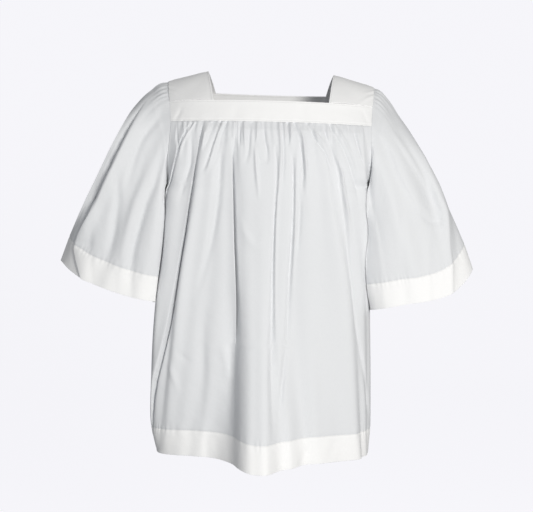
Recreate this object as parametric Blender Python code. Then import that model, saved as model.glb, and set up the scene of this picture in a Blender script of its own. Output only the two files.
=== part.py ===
"""A surplice: a white over-vestment with a square neck, a banded yoke, a gathered body and wide open sleeves.

It keeps the hollow form it has on a wearer, with no wearer inside. Right and left are the wearer's. The wearer faces
-Y, so their right hand is at -X. The origin is midway between the two neck points of the shoulders, where the garment
hangs. All sizes below are millimetres, and the meshes are written in metres.
"""

import math
from collections import namedtuple

import bmesh
import bpy
import numpy as np

MM = 0.001

# ---- Driving dimensions -------------------------------------------------------------------------------------------

LENGTH = 750.0  # neck point of the shoulder down to the hem
HEM = 51.0  # turned-up hem of the body and the sleeves
SINGLE = 1.3  # wall where the cloth is one layer
DOUBLE = 2.1  # wall where it is doubled: yoke, straps and hems
SEAM_GAP = 0.3  # between two pieces at a seam

NECK_HALF_FRONT, NECK_HALF_RIDGE, NECK_HALF_BACK = 110.0, 125.0, 114.0
NECK_POINT = -4.0  # height of the shoulder ridge at the neck
SHOULDER_HALF, SHOULDER_DROP = 205.0, 22.0  # the shoulder tip, out from the centre and down from the neck point
RIDGE_Y = 3.0  # the shoulder ridge lies this far behind the origin
LEAN = 0.03  # the shoulders slope down to the wearer's left by this much, and the hem doesn't

YOKE_FRONT_TOP, YOKE_FRONT_SEAM = -73.0, -115.0  # heights of the front band's two edges
YOKE_BACK_TOP, YOKE_BACK_SEAM = -34.0, -90.0
YOKE_BACK_SLOPE = 16.0  # the back band's top edge falls this much from the neck corner to the armhole
UNDERARM = -245.0  # height of the lowest point of the armhole
HEM_DIP, HEM_DIP_X, HEM_DIP_SPREAD = 13.0, -12.0, 46.0  # the hem hangs lower under the front's big fold

# Plan sections of the body, one row for each height. arm_x and arm_y give the panel's side edge: the armhole down to
# the underarm and the side seam below it. depth is the middle of the panel, square the superellipse's power, and
# shift moves the whole section along X.
Section = namedtuple("Section", "height arm_x arm_y depth square shift")
FRONT_SECTIONS = (
    Section(-66, 198, 58, 106, 2.2, 0),
    Section(-73, 197, 62, 108, 2.2, 0),
    Section(-115, 192, 84, 122, 2.3, 0),
    Section(-150, 192, 82, 129, 2.4, -2),
    Section(-200, 195, 56, 132, 2.5, -4),
    Section(-232, 198, 22, 132, 2.6, -6),
    Section(-245, 199, 0, 132, 2.6, -7),
    Section(-350, 202, 0, 126, 2.6, -10),
    Section(-470, 210, 0, 119, 2.7, -17),
    Section(-616, 217, 0, 110, 2.8, -21),
    Section(-706, 216, 0, 106, 2.8, -21),
    Section(-750, 208, 0, 104, 2.8, -17),
)
BACK_SECTIONS = (
    Section(-30, 206, 40, 84, 2.2, 0),
    Section(-50, 201, 62, 92, 2.2, 0),
    Section(-90, 194, 84, 108, 2.3, 0),
    Section(-150, 192, 86, 122, 2.4, -2),
    Section(-200, 195, 60, 127, 2.5, -4),
    Section(-232, 198, 24, 128, 2.6, -6),
    Section(-245, 199, 0, 128, 2.6, -7),
    Section(-350, 202, 0, 127, 2.5, -10),
    Section(-470, 210, 0, 126, 2.5, -17),
    Section(-616, 217, 0, 124, 2.4, -21),
    Section(-706, 216, 0, 122, 2.4, -21),
    Section(-750, 208, 0, 121, 2.4, -17),
)

# Folds of a body panel, from the wearer's right to their left. Each row follows one crest down the cloth: its place
# across the body and its rise from the section at four heights. tuck is where the hollow before it lies, as a share
# of the way from the crest before, at the chest and at the hem: 0.5 is an even hollow, and near 1 the crest stands
# over it. floor is how much of the lower crest's rise is left in that hollow.
FOLD_HEIGHTS = (-115.0, -190.0, -420.0, -750.0)
Fold = namedtuple("Fold", "x_yoke x_chest x_waist x_hem rise_yoke rise_chest rise_waist rise_hem tuck tuck_hem floor")
FRONT_FOLDS = (
    Fold(-160, -171, -196, -220, 3, 12, 13, 3, 0.45, 0.50, 0.0),
    Fold(-124, -131, -166, -213, 3, 11, 19, 7, 0.78, 0.50, 0.0),
    Fold(-100, -105, -134, -176, 3, 8, 6, 6, 0.35, 0.50, 0.0),
    Fold(-80, -87, -98, -138, 3, 6, 5, 9, 0.50, 0.50, 0.0),
    Fold(-60, -61, -50, -37, 3, 13, 24, 80, 0.93, 0.30, 0.0),
    Fold(-18, -17, -16, -6, 3, 9, 16, 86, 0.50, 0.50, 0.90),
    Fold(24, 28, 18, 34, 3, 10, 15, 60, 0.55, 0.50, 0.75),
    Fold(60, 68, 64, 84, 3, 12, 12, 38, 0.50, 0.50, 0.55),
    Fold(96, 101, 136, 160, 3, 11, 17, 22, 0.50, 0.55, 0.40),
    Fold(128, 132, 166, 182, 3, 7, 8, 6, 0.25, 0.40, 0.10),
    Fold(162, 170, 182, 186, 3, 9, 11, 2, 0.50, 0.50, 0.20),
)
BACK_FOLDS = (
    Fold(-158, -166, -186, -196, 2, 7, 12, 16, 0.50, 0.50, 0.0),
    Fold(-114, -118, -136, -146, 2, 8, 15, 24, 0.62, 0.62, 0.0),
    Fold(-70, -72, -84, -90, 2, 7, 11, 17, 0.50, 0.50, 0.1),
    Fold(-24, -26, -32, -38, 2, 9, 18, 28, 0.40, 0.40, 0.0),
    Fold(22, 22, 22, 20, 2, 7, 12, 18, 0.56, 0.56, 0.1),
    Fold(66, 66, 68, 74, 2, 8, 16, 25, 0.45, 0.45, 0.0),
    Fold(108, 112, 116, 124, 2, 7, 12, 18, 0.55, 0.55, 0.0),
    Fold(156, 162, 166, 172, 2, 6, 10, 14, 0.50, 0.50, 0.0),
)
FULL_TUCK_RISE = 14.0  # a crest has to rise this much before it reaches its full tuck
TUCK_CHANGES = -330.0  # tucks go from their chest value here to their hem value at the hem
CREST_GAIN = 1.35  # the smoothing curve lowers each crest, so its rise is raised by this first

GATHER_RISE = 3.5  # the fine gathers under a yoke stand this proud
GATHER_STEEPNESS = 0.66  # but no more than this share of their own half width
GATHER_FADE = 84.0  # and die away over this height
GATHER_FLAT = 16.0  # the panel isn't gathered this near the armhole
FRONT_STEPS = (5.4, 20.0)  # wanted spacing of the columns at the seam and at the hem
BACK_STEPS = (7.4, 24.0)

# Rows of a panel, as heights, closer where the gathers and the hem are.
FRONT_ROWS = (-116, -123, -133, -147, -165, -188, -212, -232, -245, -280, -325, -375, -430, -486, -542, -598, -650)
BACK_ROWS = (-91, -99, -112, -132, -158, -188, -212, -232, -245, -290, -350, -412, -476, -540, -600, -650)
YOKE_ROWS = (0.0, 0.35, 0.7, 1.0)  # shares of the way down a yoke band
HEM_STEP = 3.0  # the wall thickens over this height at the top of a hem

# ---- Sleeves ------------------------------------------------------------------------------------------------------

SLEEVE_LENGTH = 385.0  # from the armhole to the mouth, about

# The front half of each sleeve's mouth, from its outer end (turn 0) to its inner end under the arm (turn 0.5). out is
# from the centre of the garment, fore from the side seam and up from the origin. The back half mirrors it.
MouthPoint = namedtuple("MouthPoint", "turn out fore up")
MOUTHS = {
    "sleeve_right": (
        MouthPoint(0.00, 420, 0, -378),
        MouthPoint(0.05, 409, 38, -386),
        MouthPoint(0.09, 394, 62, -395),
        MouthPoint(0.14, 366, 90, -407),
        MouthPoint(0.21, 326, 111, -423),
        MouthPoint(0.29, 283, 112, -437),
        MouthPoint(0.36, 246, 102, -449),
        MouthPoint(0.41, 226, 86, -455),
        MouthPoint(0.44, 222, 66, -457),
        MouthPoint(0.47, 228, 34, -459),
        MouthPoint(0.50, 232, 0, -460),
    ),
    "sleeve_left": (
        MouthPoint(0.00, 400, 0, -394),
        MouthPoint(0.05, 390, 38, -405),
        MouthPoint(0.09, 374, 62, -419),
        MouthPoint(0.14, 346, 87, -435),
        MouthPoint(0.21, 306, 112, -450),
        MouthPoint(0.29, 263, 116, -459),
        MouthPoint(0.36, 224, 106, -467),
        MouthPoint(0.41, 203, 90, -471),
        MouthPoint(0.44, 198, 70, -473),
        MouthPoint(0.47, 201, 36, -474),
        MouthPoint(0.50, 204, 0, -474),
    ),
}

# How far each sleeve's outer edge bows out of the straight line from shoulder to mouth, by share of its length.
BOW_SHARES = (0.0, 0.03, 0.075, 0.2, 0.3, 0.45, 0.6, 0.77, 0.9, 1.0)
BOWS = {
    "sleeve_right": (0, 11, 17, 21, 20, 17, 13, 9, 4, 0),
    "sleeve_left": (0, 6, 12, 19, 21, 21, 17, 13, 7, 0),
}

# Folds of a sleeve. turn is the crest's place round the sleeve: 0 the shoulder, 0.25 the front, 0.5 the underarm and
# 0.75 the back, at the armhole, half way and at the mouth. rise is its height at the same three places, tuck and
# floor as in a body fold.
SleeveFold = namedtuple("SleeveFold", "turn_top turn_mid turn_mouth rise_top rise_mid rise_mouth tuck floor")
SLEEVE_FOLDS = {
    "sleeve_right": (
        SleeveFold(0.055, 0.050, 0.060, 1, 9, 9, 0.60, 0.0),
        SleeveFold(0.150, 0.140, 0.150, 1, 6, 4, 0.50, 0.2),
        SleeveFold(0.230, 0.215, 0.225, 2, 7, 9, 0.60, 0.0),
        SleeveFold(0.330, 0.325, 0.330, 3, 8, 10, 0.55, 0.0),
        SleeveFold(0.440, 0.435, 0.430, 1, 3, 4, 0.50, 0.0),
        SleeveFold(0.570, 0.570, 0.570, 1, 3, 5, 0.50, 0.0),
        SleeveFold(0.680, 0.690, 0.690, 2, 7, 9, 0.50, 0.0),
        SleeveFold(0.800, 0.800, 0.800, 2, 7, 8, 0.45, 0.0),
        SleeveFold(0.925, 0.930, 0.925, 1, 6, 6, 0.50, 0.0),
    ),
    "sleeve_left": (
        SleeveFold(0.060, 0.055, 0.050, 1, 5, 7, 0.50, 0.0),
        SleeveFold(0.165, 0.155, 0.150, 2, 8, 5, 0.50, 0.1),
        SleeveFold(0.235, 0.240, 0.245, 3, 11, 4, 0.45, 0.1),
        SleeveFold(0.340, 0.335, 0.340, 2, 5, 6, 0.30, 0.0),
        SleeveFold(0.430, 0.420, 0.420, 3, 6, 6, 0.60, 0.0),
        SleeveFold(0.570, 0.570, 0.570, 1, 3, 5, 0.50, 0.0),
        SleeveFold(0.690, 0.680, 0.680, 2, 7, 9, 0.50, 0.0),
        SleeveFold(0.800, 0.800, 0.810, 2, 6, 8, 0.50, 0.0),
        SleeveFold(0.920, 0.925, 0.930, 1, 5, 6, 0.50, 0.0),
    ),
}
BODY_CLEARANCE = 2.0  # between a sleeve and the side of the body
CAP_TURN = 0.115  # small gathers take the sleeve in within this much of a turn of the shoulder point
CAP_GATHER_RISE = 1.9
SLEEVE_ROWS = (0.0, 0.02, 0.05, 0.1, 0.16, 0.24, 0.34, 0.45, 0.56, 0.67, 0.78)  # shares of the length

# ---- Colours ------------------------------------------------------------------------------------------------------

CLOTH_WHITE = (0.80, 0.81, 0.83, 1.0)  # one layer of the cloth, a little grey because it is thin
DOUBLED_WHITE = (0.92, 0.92, 0.92, 1.0)  # two layers, as at the yoke


def clear_scene():
    for obj in list(bpy.data.objects):
        bpy.data.objects.remove(obj, do_unlink=True)


def cloth_material(name, colour):
    material = bpy.data.materials.new(name)
    material.use_nodes = True
    shader = material.node_tree.nodes["Principled BSDF"]
    shader.inputs["Base Color"].default_value = colour
    shader.inputs["Roughness"].default_value = 0.85
    shader.inputs["Metallic"].default_value = 0.0
    return material


def through(stations, values, at):
    """The value at one place of a smooth curve through values at rising stations, level past both ends."""
    stations, values = np.asarray(stations, float), np.asarray(values, float)
    if stations[0] > stations[-1]:
        stations, values = stations[::-1], values[::-1]
    at = min(max(at, stations[0]), stations[-1])
    i = min(max(int(np.searchsorted(stations, at)) - 1, 0), len(stations) - 2)
    slopes = np.gradient(values, stations)
    span = stations[i + 1] - stations[i]
    t = (at - stations[i]) / span
    rise = values[i] * (1 + 2 * t) * (1 - t) ** 2 + values[i + 1] * t * t * (3 - 2 * t)
    return float(rise + span * (slopes[i] * t * (1 - t) ** 2 - slopes[i + 1] * t * t * (1 - t)))


def section_at(sections, height):
    """The section at any height, between the rows of its table."""
    heights = [s.height for s in sections]
    columns = list(zip(*sections))[1:]
    arm_x, arm_y, depth, square, shift = (through(heights, column, height) for column in columns)
    below_arm = height <= UNDERARM
    return Section(height, arm_x, 0.0 if below_arm else max(arm_y, 0.0), depth, square, shift)


def half_width(section):
    """Half the superellipse's width, so that it passes through the panel's side edge."""
    missing = 1 - (section.arm_y / section.depth) ** section.square
    return section.arm_x / missing ** (1 / section.square)


def body_y(section, x, facing):
    """Where the body's surface is, front (facing -1) or back (facing +1), at one place across it."""
    share = min(abs(x - section.shift) / half_width(section), 1.0)
    return facing * section.depth * (1 - share**section.square) ** (1 / section.square)


def leant(points):
    """Points of the garment once its shoulders lean."""
    points = np.array(points, float)
    points[..., 2] -= LEAN * points[..., 0] * np.clip(1 + points[..., 2] / LENGTH, 0, 1)
    return points


class Contour:
    """A smooth level line with its length along it, its points and its outward normals."""

    def __init__(self, points, normals):
        self.points, self.normals = points, normals
        steps = np.linalg.norm(np.diff(points, axis=0), axis=1)
        self.along = np.concatenate([[0.0], np.cumsum(steps)])
        self.length = self.along[-1]

    def place(self, along, rise):
        """The point this far along the line and this far out from it."""
        point = np.array([np.interp(along, self.along, self.points[:, k]) for k in range(3)])
        normal = np.array([np.interp(along, self.along, self.normals[:, k]) for k in range(3)])
        return point + normal / np.linalg.norm(normal) * rise

    def along_of_x(self, x):
        return float(np.interp(x, self.points[:, 0], self.along))


def body_contour(sections, height, facing):
    """The line of a body panel at one height, from the wearer's right to their left."""
    s = section_at(sections, height)
    wide = half_width(s)
    start = math.atan2((s.arm_y / s.depth) ** (s.square / 2), (s.arm_x / wide) ** (s.square / 2))
    angles = np.linspace(math.pi - start, start, 181)
    c, sn = np.cos(angles), np.sin(angles)
    power = 2 / s.square
    x = wide * np.sign(c) * np.abs(c) ** power
    y = facing * s.depth * np.abs(sn) ** power
    points = np.stack([x + s.shift, y, np.full_like(x, height)], axis=1)
    normals = np.stack(
        [
            np.sign(c) * np.abs(c) ** (2 - power) / wide,
            facing * np.abs(sn) ** (2 - power) / s.depth,
            np.zeros_like(x),
        ],
        axis=1,
    )
    return Contour(points, normals / np.linalg.norm(normals, axis=1, keepdims=True))


def spline(controls, spans):
    """Points of a cubic B-spline that starts and ends on its end controls, spans[i] of them from control i on."""
    first = 2 * controls[0] - controls[1]
    last = 2 * controls[-1] - controls[-2]
    c = np.vstack([first, controls, last])
    found = []
    for i, count in enumerate(spans):
        for t in np.arange(count) / count:
            weights = np.array([(1 - t) ** 3, 3 * t**3 - 6 * t**2 + 4, 1 + 3 * t + 3 * t**2 - 3 * t**3, t**3]) / 6
            found.append(weights @ c[i : i + 4])
    return np.array([*found, controls[-1]])


def crease_controls(crests, rises, tucks, floors, start, end):
    """Crests and the hollows between them, as (along, rise), from one edge of a panel to the other."""
    controls = [(start, 0.0)]
    before, rise_before = start, 0.0
    for crest, rise, tuck, floor in zip(crests, rises, tucks, floors):
        ready = min(1.0, rise / FULL_TUCK_RISE)
        share = 0.5 + (tuck - 0.5) * ready
        controls.append((before + (crest - before) * share, floor * min(rise, rise_before) * CREST_GAIN))
        controls.append((crest, rise * CREST_GAIN))
        before, rise_before = crest, rise
    controls.append(((before + end) / 2, 0.0))
    controls.append((end, 0.0))
    return np.array(controls)


def gather(profile, fall, length):
    """How far each column stands out in fine gathers: every second one is a crest, and all fade with the fall."""
    along = profile[:, 0]
    pitch = np.gradient(along)
    growing = 0.35 + 0.65 * min(1.0, fall / 9.0)
    fading = max(0.0, 1 - (fall / GATHER_FADE) ** 2)
    columns = np.arange(len(along))
    uneven = 0.8 + 0.2 * np.sin(2.4 * columns) + 0.15 * np.sin(0.7 * columns)
    crest = np.where(columns % 2 == 1, 1.0, -0.3)
    clear_of_ends = np.minimum(along, length - along) > GATHER_FLAT
    return np.minimum(GATHER_RISE, pitch * GATHER_STEEPNESS) * growing * fading * uneven * crest * clear_of_ends


def body_controls(sections, folds, height, facing):
    """The section line of a body panel at one height, and the crests and hollows along it."""
    contour = body_contour(sections, height, facing)
    columns = list(zip(*folds))
    crests_at, rises_at = columns[0:4], columns[4:8]
    crests = []
    rises = []
    for i in range(len(folds)):
        crests.append(contour.along_of_x(through(FOLD_HEIGHTS, [column[i] for column in crests_at], height)))
        rises.append(through(FOLD_HEIGHTS, [column[i] for column in rises_at], height))
    lowness = min(1.0, max(0.0, (TUCK_CHANGES - height) / (TUCK_CHANGES + LENGTH)))
    tucks = [chest + (hem - chest) * lowness for chest, hem in zip(columns[8], columns[9])]
    start, end = SEAM_GAP / 2, contour.length - SEAM_GAP / 2
    return contour, crease_controls(crests, rises, tucks, columns[10], start, end)


def body_spans(sections, folds, top, facing, seam_step, hem_step):
    """How many columns lie between one control and the next: enough for the gathers at the seam and the folds' flanks
    at the hem."""
    seam = np.linalg.norm(np.diff(body_controls(sections, folds, top, facing)[1], axis=0), axis=1)
    hem = np.linalg.norm(np.diff(body_controls(sections, folds, -LENGTH, facing)[1], axis=0), axis=1)
    return [max(1, round(a / seam_step), round(b / hem_step)) for a, b in zip(seam, hem)]


def body_row(sections, folds, height, top, facing, spans):
    """The outer points of a body panel at one height."""
    contour, controls = body_controls(sections, folds, height, facing)
    profile = spline(controls, spans)
    fall = top - height
    settle = min(1.0, fall / 16.0)  # the folds grow out of the seam
    rises = profile[:, 1] * settle + gather(profile, fall, contour.length)
    row = []
    for along, rise in zip(profile[:, 0], rises):
        point = contour.place(along, rise)
        dip = HEM_DIP * math.exp(-(((point[0] - HEM_DIP_X) / HEM_DIP_SPREAD) ** 2)) * (fall / (LENGTH + top)) ** 2
        point[2] -= dip if facing < 0 else 0.0
        row.append(point)
    return leant(row)


def surface_normals(grid, wraps):
    """Outward unit normals of a grid of points, whose rows run down and columns run round."""
    down = np.gradient(grid, axis=0)
    if wraps:
        across = (np.roll(grid, -1, axis=1) - np.roll(grid, 1, axis=1)) / 2
    else:
        across = np.gradient(grid, axis=1)
    normals = np.cross(down, across)
    return normals / np.linalg.norm(normals, axis=2, keepdims=True)


def wall(name, outer, thickness, material, facing=1, wraps=False):
    """A closed wall of cloth from the grid of its outer points. thickness has one value for each row, and facing is -1
    where the grid runs the other way round."""
    normals = surface_normals(outer, wraps) * facing
    inner = outer - normals * np.asarray(thickness, float)[:, None, None]
    rows, columns = outer.shape[:2]
    bm = bmesh.new()
    skins = [[[bm.verts.new(point * MM) for point in row] for row in grid] for grid in (outer, inner)]
    out, back = skins
    across = columns if wraps else columns - 1
    for i in range(rows - 1):
        for j in range(across):
            k = (j + 1) % columns
            bm.faces.new((out[i][j], out[i + 1][j], out[i + 1][k], out[i][k]))
            bm.faces.new((back[i][j], back[i][k], back[i + 1][k], back[i + 1][j]))
    for i in (0, rows - 1):
        for j in range(across):
            k = (j + 1) % columns
            bm.faces.new((out[i][j], out[i][k], back[i][k], back[i][j]))
    if not wraps:
        for i in range(rows - 1):
            for j in (0, columns - 1):
                bm.faces.new((out[i][j], back[i][j], back[i + 1][j], out[i + 1][j]))
    bmesh.ops.recalc_face_normals(bm, faces=bm.faces)
    bmesh.ops.triangulate(bm, faces=bm.faces)
    mesh = bpy.data.meshes.new(name)
    bm.to_mesh(mesh)
    bm.free()
    mesh.materials.append(material)
    mesh.shade_smooth()
    mesh.set_sharp_from_angle(angle=math.radians(50))
    obj = bpy.data.objects.new(name, mesh)
    bpy.context.scene.collection.objects.link(obj)
    return obj


def with_hem(rows, bottom, per_mm):
    """A piece's row places with those of its hem, and the wall's thickness at each. per_mm is one millimetre upwards in
    the rows' own unit."""
    places = [*rows] + [bottom + up * per_mm for up in (HEM + HEM_STEP, HEM, HEM / 2, 0.0)]
    thickness = [SINGLE] * (len(rows) + 1) + [DOUBLE] * 3
    return places, thickness


def make_body(name, sections, folds, rows, top, facing, steps, material):
    """A gathered body panel, hem and all. steps are the column spacings wanted at the seam and at the hem."""
    spans = body_spans(sections, folds, top, facing, *steps)
    heights, thickness = with_hem(rows, -LENGTH, 1.0)
    grid = [body_row(sections, folds, height, top, facing, spans) for height in heights]
    wall(name, np.array(grid), thickness, material, facing=-facing)


def yoke_grid(sections, facing, top_of, seam, columns):
    """The outer points of a yoke band. top_of gives the height of its top edge at a place across."""
    grid = []
    for t in YOKE_ROWS:
        row = []
        for u in np.linspace(-1, 1, columns):
            edge_height = top_of(SHOULDER_HALF) * (1 - t) + seam * t
            x = u * (section_at(sections, edge_height).arm_x - SEAM_GAP / 2)
            height = (top_of(abs(x)) - SEAM_GAP) * (1 - t) + seam * t
            row.append((x, body_y(section_at(sections, height), x, facing), height))
        grid.append(row)
    return leant(grid)


def front_top(x):
    return YOKE_FRONT_TOP


def back_top(x):
    past_neck = max(0.0, x - NECK_HALF_BACK) / (SHOULDER_HALF - NECK_HALF_BACK)
    return YOKE_BACK_TOP - YOKE_BACK_SLOPE * min(1.0, past_neck)


def strap_column(share, side):
    """One line of a strap over the shoulder, from the front band to the back one. share is 0 at the neck."""
    front_x = NECK_HALF_FRONT + (section_at(FRONT_SECTIONS, YOKE_FRONT_TOP).arm_x - NECK_HALF_FRONT) * share
    back_end = back_top(SHOULDER_HALF)
    back_x = NECK_HALF_BACK + (section_at(BACK_SECTIONS, back_end).arm_x - NECK_HALF_BACK) * share
    front_y = body_y(section_at(FRONT_SECTIONS, YOKE_FRONT_TOP), front_x, -1)
    back_z = back_top(back_x)
    back_y = body_y(section_at(BACK_SECTIONS, back_z), back_x, 1)
    ridge_x = NECK_HALF_RIDGE + (SHOULDER_HALF - NECK_HALF_RIDGE) * share
    ridge_z = NECK_POINT - SHOULDER_DROP * share**1.15
    points = []
    for s in (-1.0, -0.8, -0.58, -0.36, -0.15, 0.05, 0.27, 0.5, 0.76, 1.0):
        end_x, end_y, end_z = (front_x, front_y, YOKE_FRONT_TOP) if s < 0 else (back_x, back_y, back_z)
        far = abs(s)
        x = ridge_x + (end_x - ridge_x) * far**1.3
        y = RIDGE_Y + (end_y - RIDGE_Y) * far
        z = ridge_z + (end_z - ridge_z) * far**1.7
        points.append((side * x, y, z))
    return leant(points)


def make_strap(name, side, material):
    shares = (0.0, 0.2, 0.4, 0.6, 0.8, 1.0)
    lines = [strap_column(share, side) for share in shares]
    grid = np.array(lines).transpose(1, 0, 2)
    wall(name, grid, [DOUBLE] * len(grid), material, facing=side)


def armhole(side):
    """The seam round the armhole and the turn of each of its points: 0 on the shoulder, 0.5 under the arm. They are the
    points where the straps', the yoke's and the body's own edges bend, so that the seam's two sides match."""
    strap = strap_column(1.0, side)
    ridge = int(np.argmax(strap[:, 2]))
    fine = []
    for a, b in zip(strap[:-1], strap[1:]):
        fine += [a, (a + b) / 2]
    fine.append(strap[-1])
    ridge *= 2
    front, back = fine[ridge::-1], fine[ridge:]
    for sections, top, seam, rows, edge, facing in (
        (FRONT_SECTIONS, YOKE_FRONT_TOP, YOKE_FRONT_SEAM, FRONT_ROWS, front, -1),
        (BACK_SECTIONS, back_top(SHOULDER_HALF), YOKE_BACK_SEAM, BACK_ROWS, back, 1),
    ):
        heights = [top + (seam - top) * t for t in YOKE_ROWS[1:]] + [row for row in rows if row >= UNDERARM]
        for height in heights:
            s = section_at(sections, height)
            edge.append(leant([side * s.arm_x + s.shift, facing * s.arm_y, height]))
    points = np.array(front + back[-2:0:-1])
    points[:, 0] += side * SEAM_GAP
    turns = []
    for edge in (np.array(front), np.array(back)):
        along = np.concatenate([[0.0], np.cumsum(np.linalg.norm(np.diff(edge, axis=0), axis=1))])
        turns.append(along / along[-1] / 2)
    return points, np.concatenate([turns[0], 1 - turns[1][-2:0:-1]])


def mouth_point(turn, name, side):
    """A point of the sleeve's mouth. It runs the way that the armhole does."""
    rows = MOUTHS[name]
    before, after = rows[1], rows[-2]
    rows = [
        MouthPoint(-before.turn, before.out, -before.fore, before.up),
        *rows,
        MouthPoint(1 - after.turn, after.out, -after.fore, after.up),
    ]
    turns, outs, fores, ups = zip(*rows)
    half_turn = min(turn, 1 - turn)
    fore = through(turns, fores, half_turn) * (1 if turn <= 0.5 else -1)
    return np.array([side * through(turns, outs, half_turn), -fore, through(turns, ups, half_turn)])


class BodySides:
    """How far out each side of the body reaches, at any height and any place from front to back."""

    HEIGHTS = np.arange(-205.0, -500.0, -10.0)
    PLACES = np.arange(-150.0, 151.0, 10.0)

    def __init__(self):
        self.reach = {-1: [], 1: []}
        for height in self.HEIGHTS:
            front = body_row(FRONT_SECTIONS, FRONT_FOLDS, height, YOKE_FRONT_SEAM, -1, [4] * 24)
            back = body_row(BACK_SECTIONS, BACK_FOLDS, height, YOKE_BACK_SEAM, 1, [4] * 18)
            points = np.concatenate([front, back])
            for side in (-1, 1):
                out = points[points[:, 0] * side > 0]
                near = np.abs(out[None, :, 1] - self.PLACES[:, None]) < 14.0
                self.reach[side].append(np.where(near, np.abs(out[None, :, 0]), 0.0).max(axis=1))

    def at(self, side, y, z):
        rows = [np.interp(y, self.PLACES, reach) for reach in self.reach[side]]
        return float(np.interp(-z, -self.HEIGHTS, rows))


def sleeve_ring(name, side, share, top, turns):
    """The outer points of a sleeve at one share of its length, before its folds."""
    mouth = np.array([mouth_point(turn, name, side) for turn in turns])
    ring = top * (1 - share) + mouth * share
    along = mouth[0] - top[0]
    across = np.array([-along[2] * side, 0.0, abs(along[0])]) / np.hypot(along[0], along[2])
    bow = through(BOW_SHARES, BOWS[name], share)
    over = np.maximum(0.0, np.cos(2 * math.pi * turns)) ** 1.2
    fore = np.abs(np.sin(2 * math.pi * turns))
    ring += across * bow * over[:, None]
    ring[:, 1] *= 1 + 0.08 * fore * math.sin(math.pi * min(1.0, share * 1.15))
    return ring


def sleeve_profile(folds, share, turns):
    """How far each column of a sleeve stands out, and how far it is drawn round, at one share of the length."""
    columns = list(zip(*folds))
    stations = (0.0, 0.5, 1.0)
    crests = [through(stations, [column[i] for column in columns[0:3]], share) for i in range(len(folds))]
    rises = [through(stations, [column[i] for column in columns[3:6]], share) for i in range(len(folds))]
    controls = crease_controls(crests, rises, columns[6], columns[7], 0.0, 1.0)
    curve = spline(controls, [12] * (len(controls) - 1))
    return np.interp(turns % 1.0, curve[:, 0], curve[:, 1])


def make_sleeve(name, side, body, material):
    top, turns = armhole(side)
    shares, thickness = with_hem(SLEEVE_ROWS, 1.0, -1.0 / SLEEVE_LENGTH)
    rings = np.array([sleeve_ring(name, side, share, top, turns) for share in shares])
    normals = surface_normals(rings, True) * -side
    near_cap = np.minimum(turns, 1 - turns) < CAP_TURN
    gathers = np.where(np.arange(len(turns)) % 2 == 1, 1.0, -0.35) * CAP_GATHER_RISE * near_cap
    for i, share in enumerate(shares):
        rise = sleeve_profile(SLEEVE_FOLDS[name], share, turns) * min(1.0, share / 0.08)
        rise = rise + gathers * max(0.0, 1 - share / 0.16) * min(1.0, share / 0.02)
        rings[i] += normals[i] * rise[:, None]
        clearance = SEAM_GAP + (BODY_CLEARANCE - SEAM_GAP) * min(1.0, share / 0.06)
        for point in rings[i] if share > 0 else ():
            if point[2] < BodySides.HEIGHTS[0]:
                point[0] = side * max(abs(point[0]), body.at(side, point[1], point[2]) + clearance)
    wall(name, rings, thickness, material, facing=-side, wraps=True)


def build():
    clear_scene()
    single = cloth_material("single_cloth", CLOTH_WHITE)
    doubled = cloth_material("doubled_cloth", DOUBLED_WHITE)

    front_band = yoke_grid(FRONT_SECTIONS, -1, front_top, YOKE_FRONT_SEAM, 17)
    wall("yoke_front", front_band, [DOUBLE] * 4, doubled, facing=1)
    back_band = yoke_grid(BACK_SECTIONS, 1, back_top, YOKE_BACK_SEAM, 17)
    wall("yoke_back", back_band, [DOUBLE] * 4, doubled, facing=-1)
    make_strap("strap_right", -1, doubled)
    make_strap("strap_left", 1, doubled)

    make_body("body_front", FRONT_SECTIONS, FRONT_FOLDS, FRONT_ROWS, YOKE_FRONT_SEAM, -1, FRONT_STEPS, single)
    make_body("body_back", BACK_SECTIONS, BACK_FOLDS, BACK_ROWS, YOKE_BACK_SEAM, 1, BACK_STEPS, single)
    body = BodySides()
    make_sleeve("sleeve_right", -1, body, single)
    make_sleeve("sleeve_left", 1, body, single)


build()
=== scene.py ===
import math
from collections import namedtuple

import bmesh
import bpy
import numpy as np
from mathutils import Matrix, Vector


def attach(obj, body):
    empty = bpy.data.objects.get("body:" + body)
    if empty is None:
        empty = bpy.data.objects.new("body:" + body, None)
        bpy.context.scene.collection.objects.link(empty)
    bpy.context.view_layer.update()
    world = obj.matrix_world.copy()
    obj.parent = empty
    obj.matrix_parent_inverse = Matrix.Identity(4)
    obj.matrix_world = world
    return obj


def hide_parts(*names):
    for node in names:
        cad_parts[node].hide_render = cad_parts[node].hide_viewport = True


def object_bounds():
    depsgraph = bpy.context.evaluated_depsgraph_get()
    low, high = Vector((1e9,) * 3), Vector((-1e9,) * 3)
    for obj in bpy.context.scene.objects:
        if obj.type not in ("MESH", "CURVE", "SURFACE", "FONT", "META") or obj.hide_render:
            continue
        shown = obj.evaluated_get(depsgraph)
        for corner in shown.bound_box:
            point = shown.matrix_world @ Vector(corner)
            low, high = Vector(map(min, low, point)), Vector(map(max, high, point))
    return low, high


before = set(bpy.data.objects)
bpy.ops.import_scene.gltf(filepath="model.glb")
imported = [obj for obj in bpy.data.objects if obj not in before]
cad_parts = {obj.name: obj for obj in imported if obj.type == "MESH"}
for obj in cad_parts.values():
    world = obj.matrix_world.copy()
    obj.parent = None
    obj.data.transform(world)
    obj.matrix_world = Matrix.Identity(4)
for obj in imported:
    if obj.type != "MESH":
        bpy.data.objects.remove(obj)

cad_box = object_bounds()

# ---- Front band of the yoke ----------------------------------------------------------------------------------------
# A straight band of doubled white cotton across the chest. Its two layers are turned in along the neck and topstitched,
# and the gathered front is caught between them along the lower edge.

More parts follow.
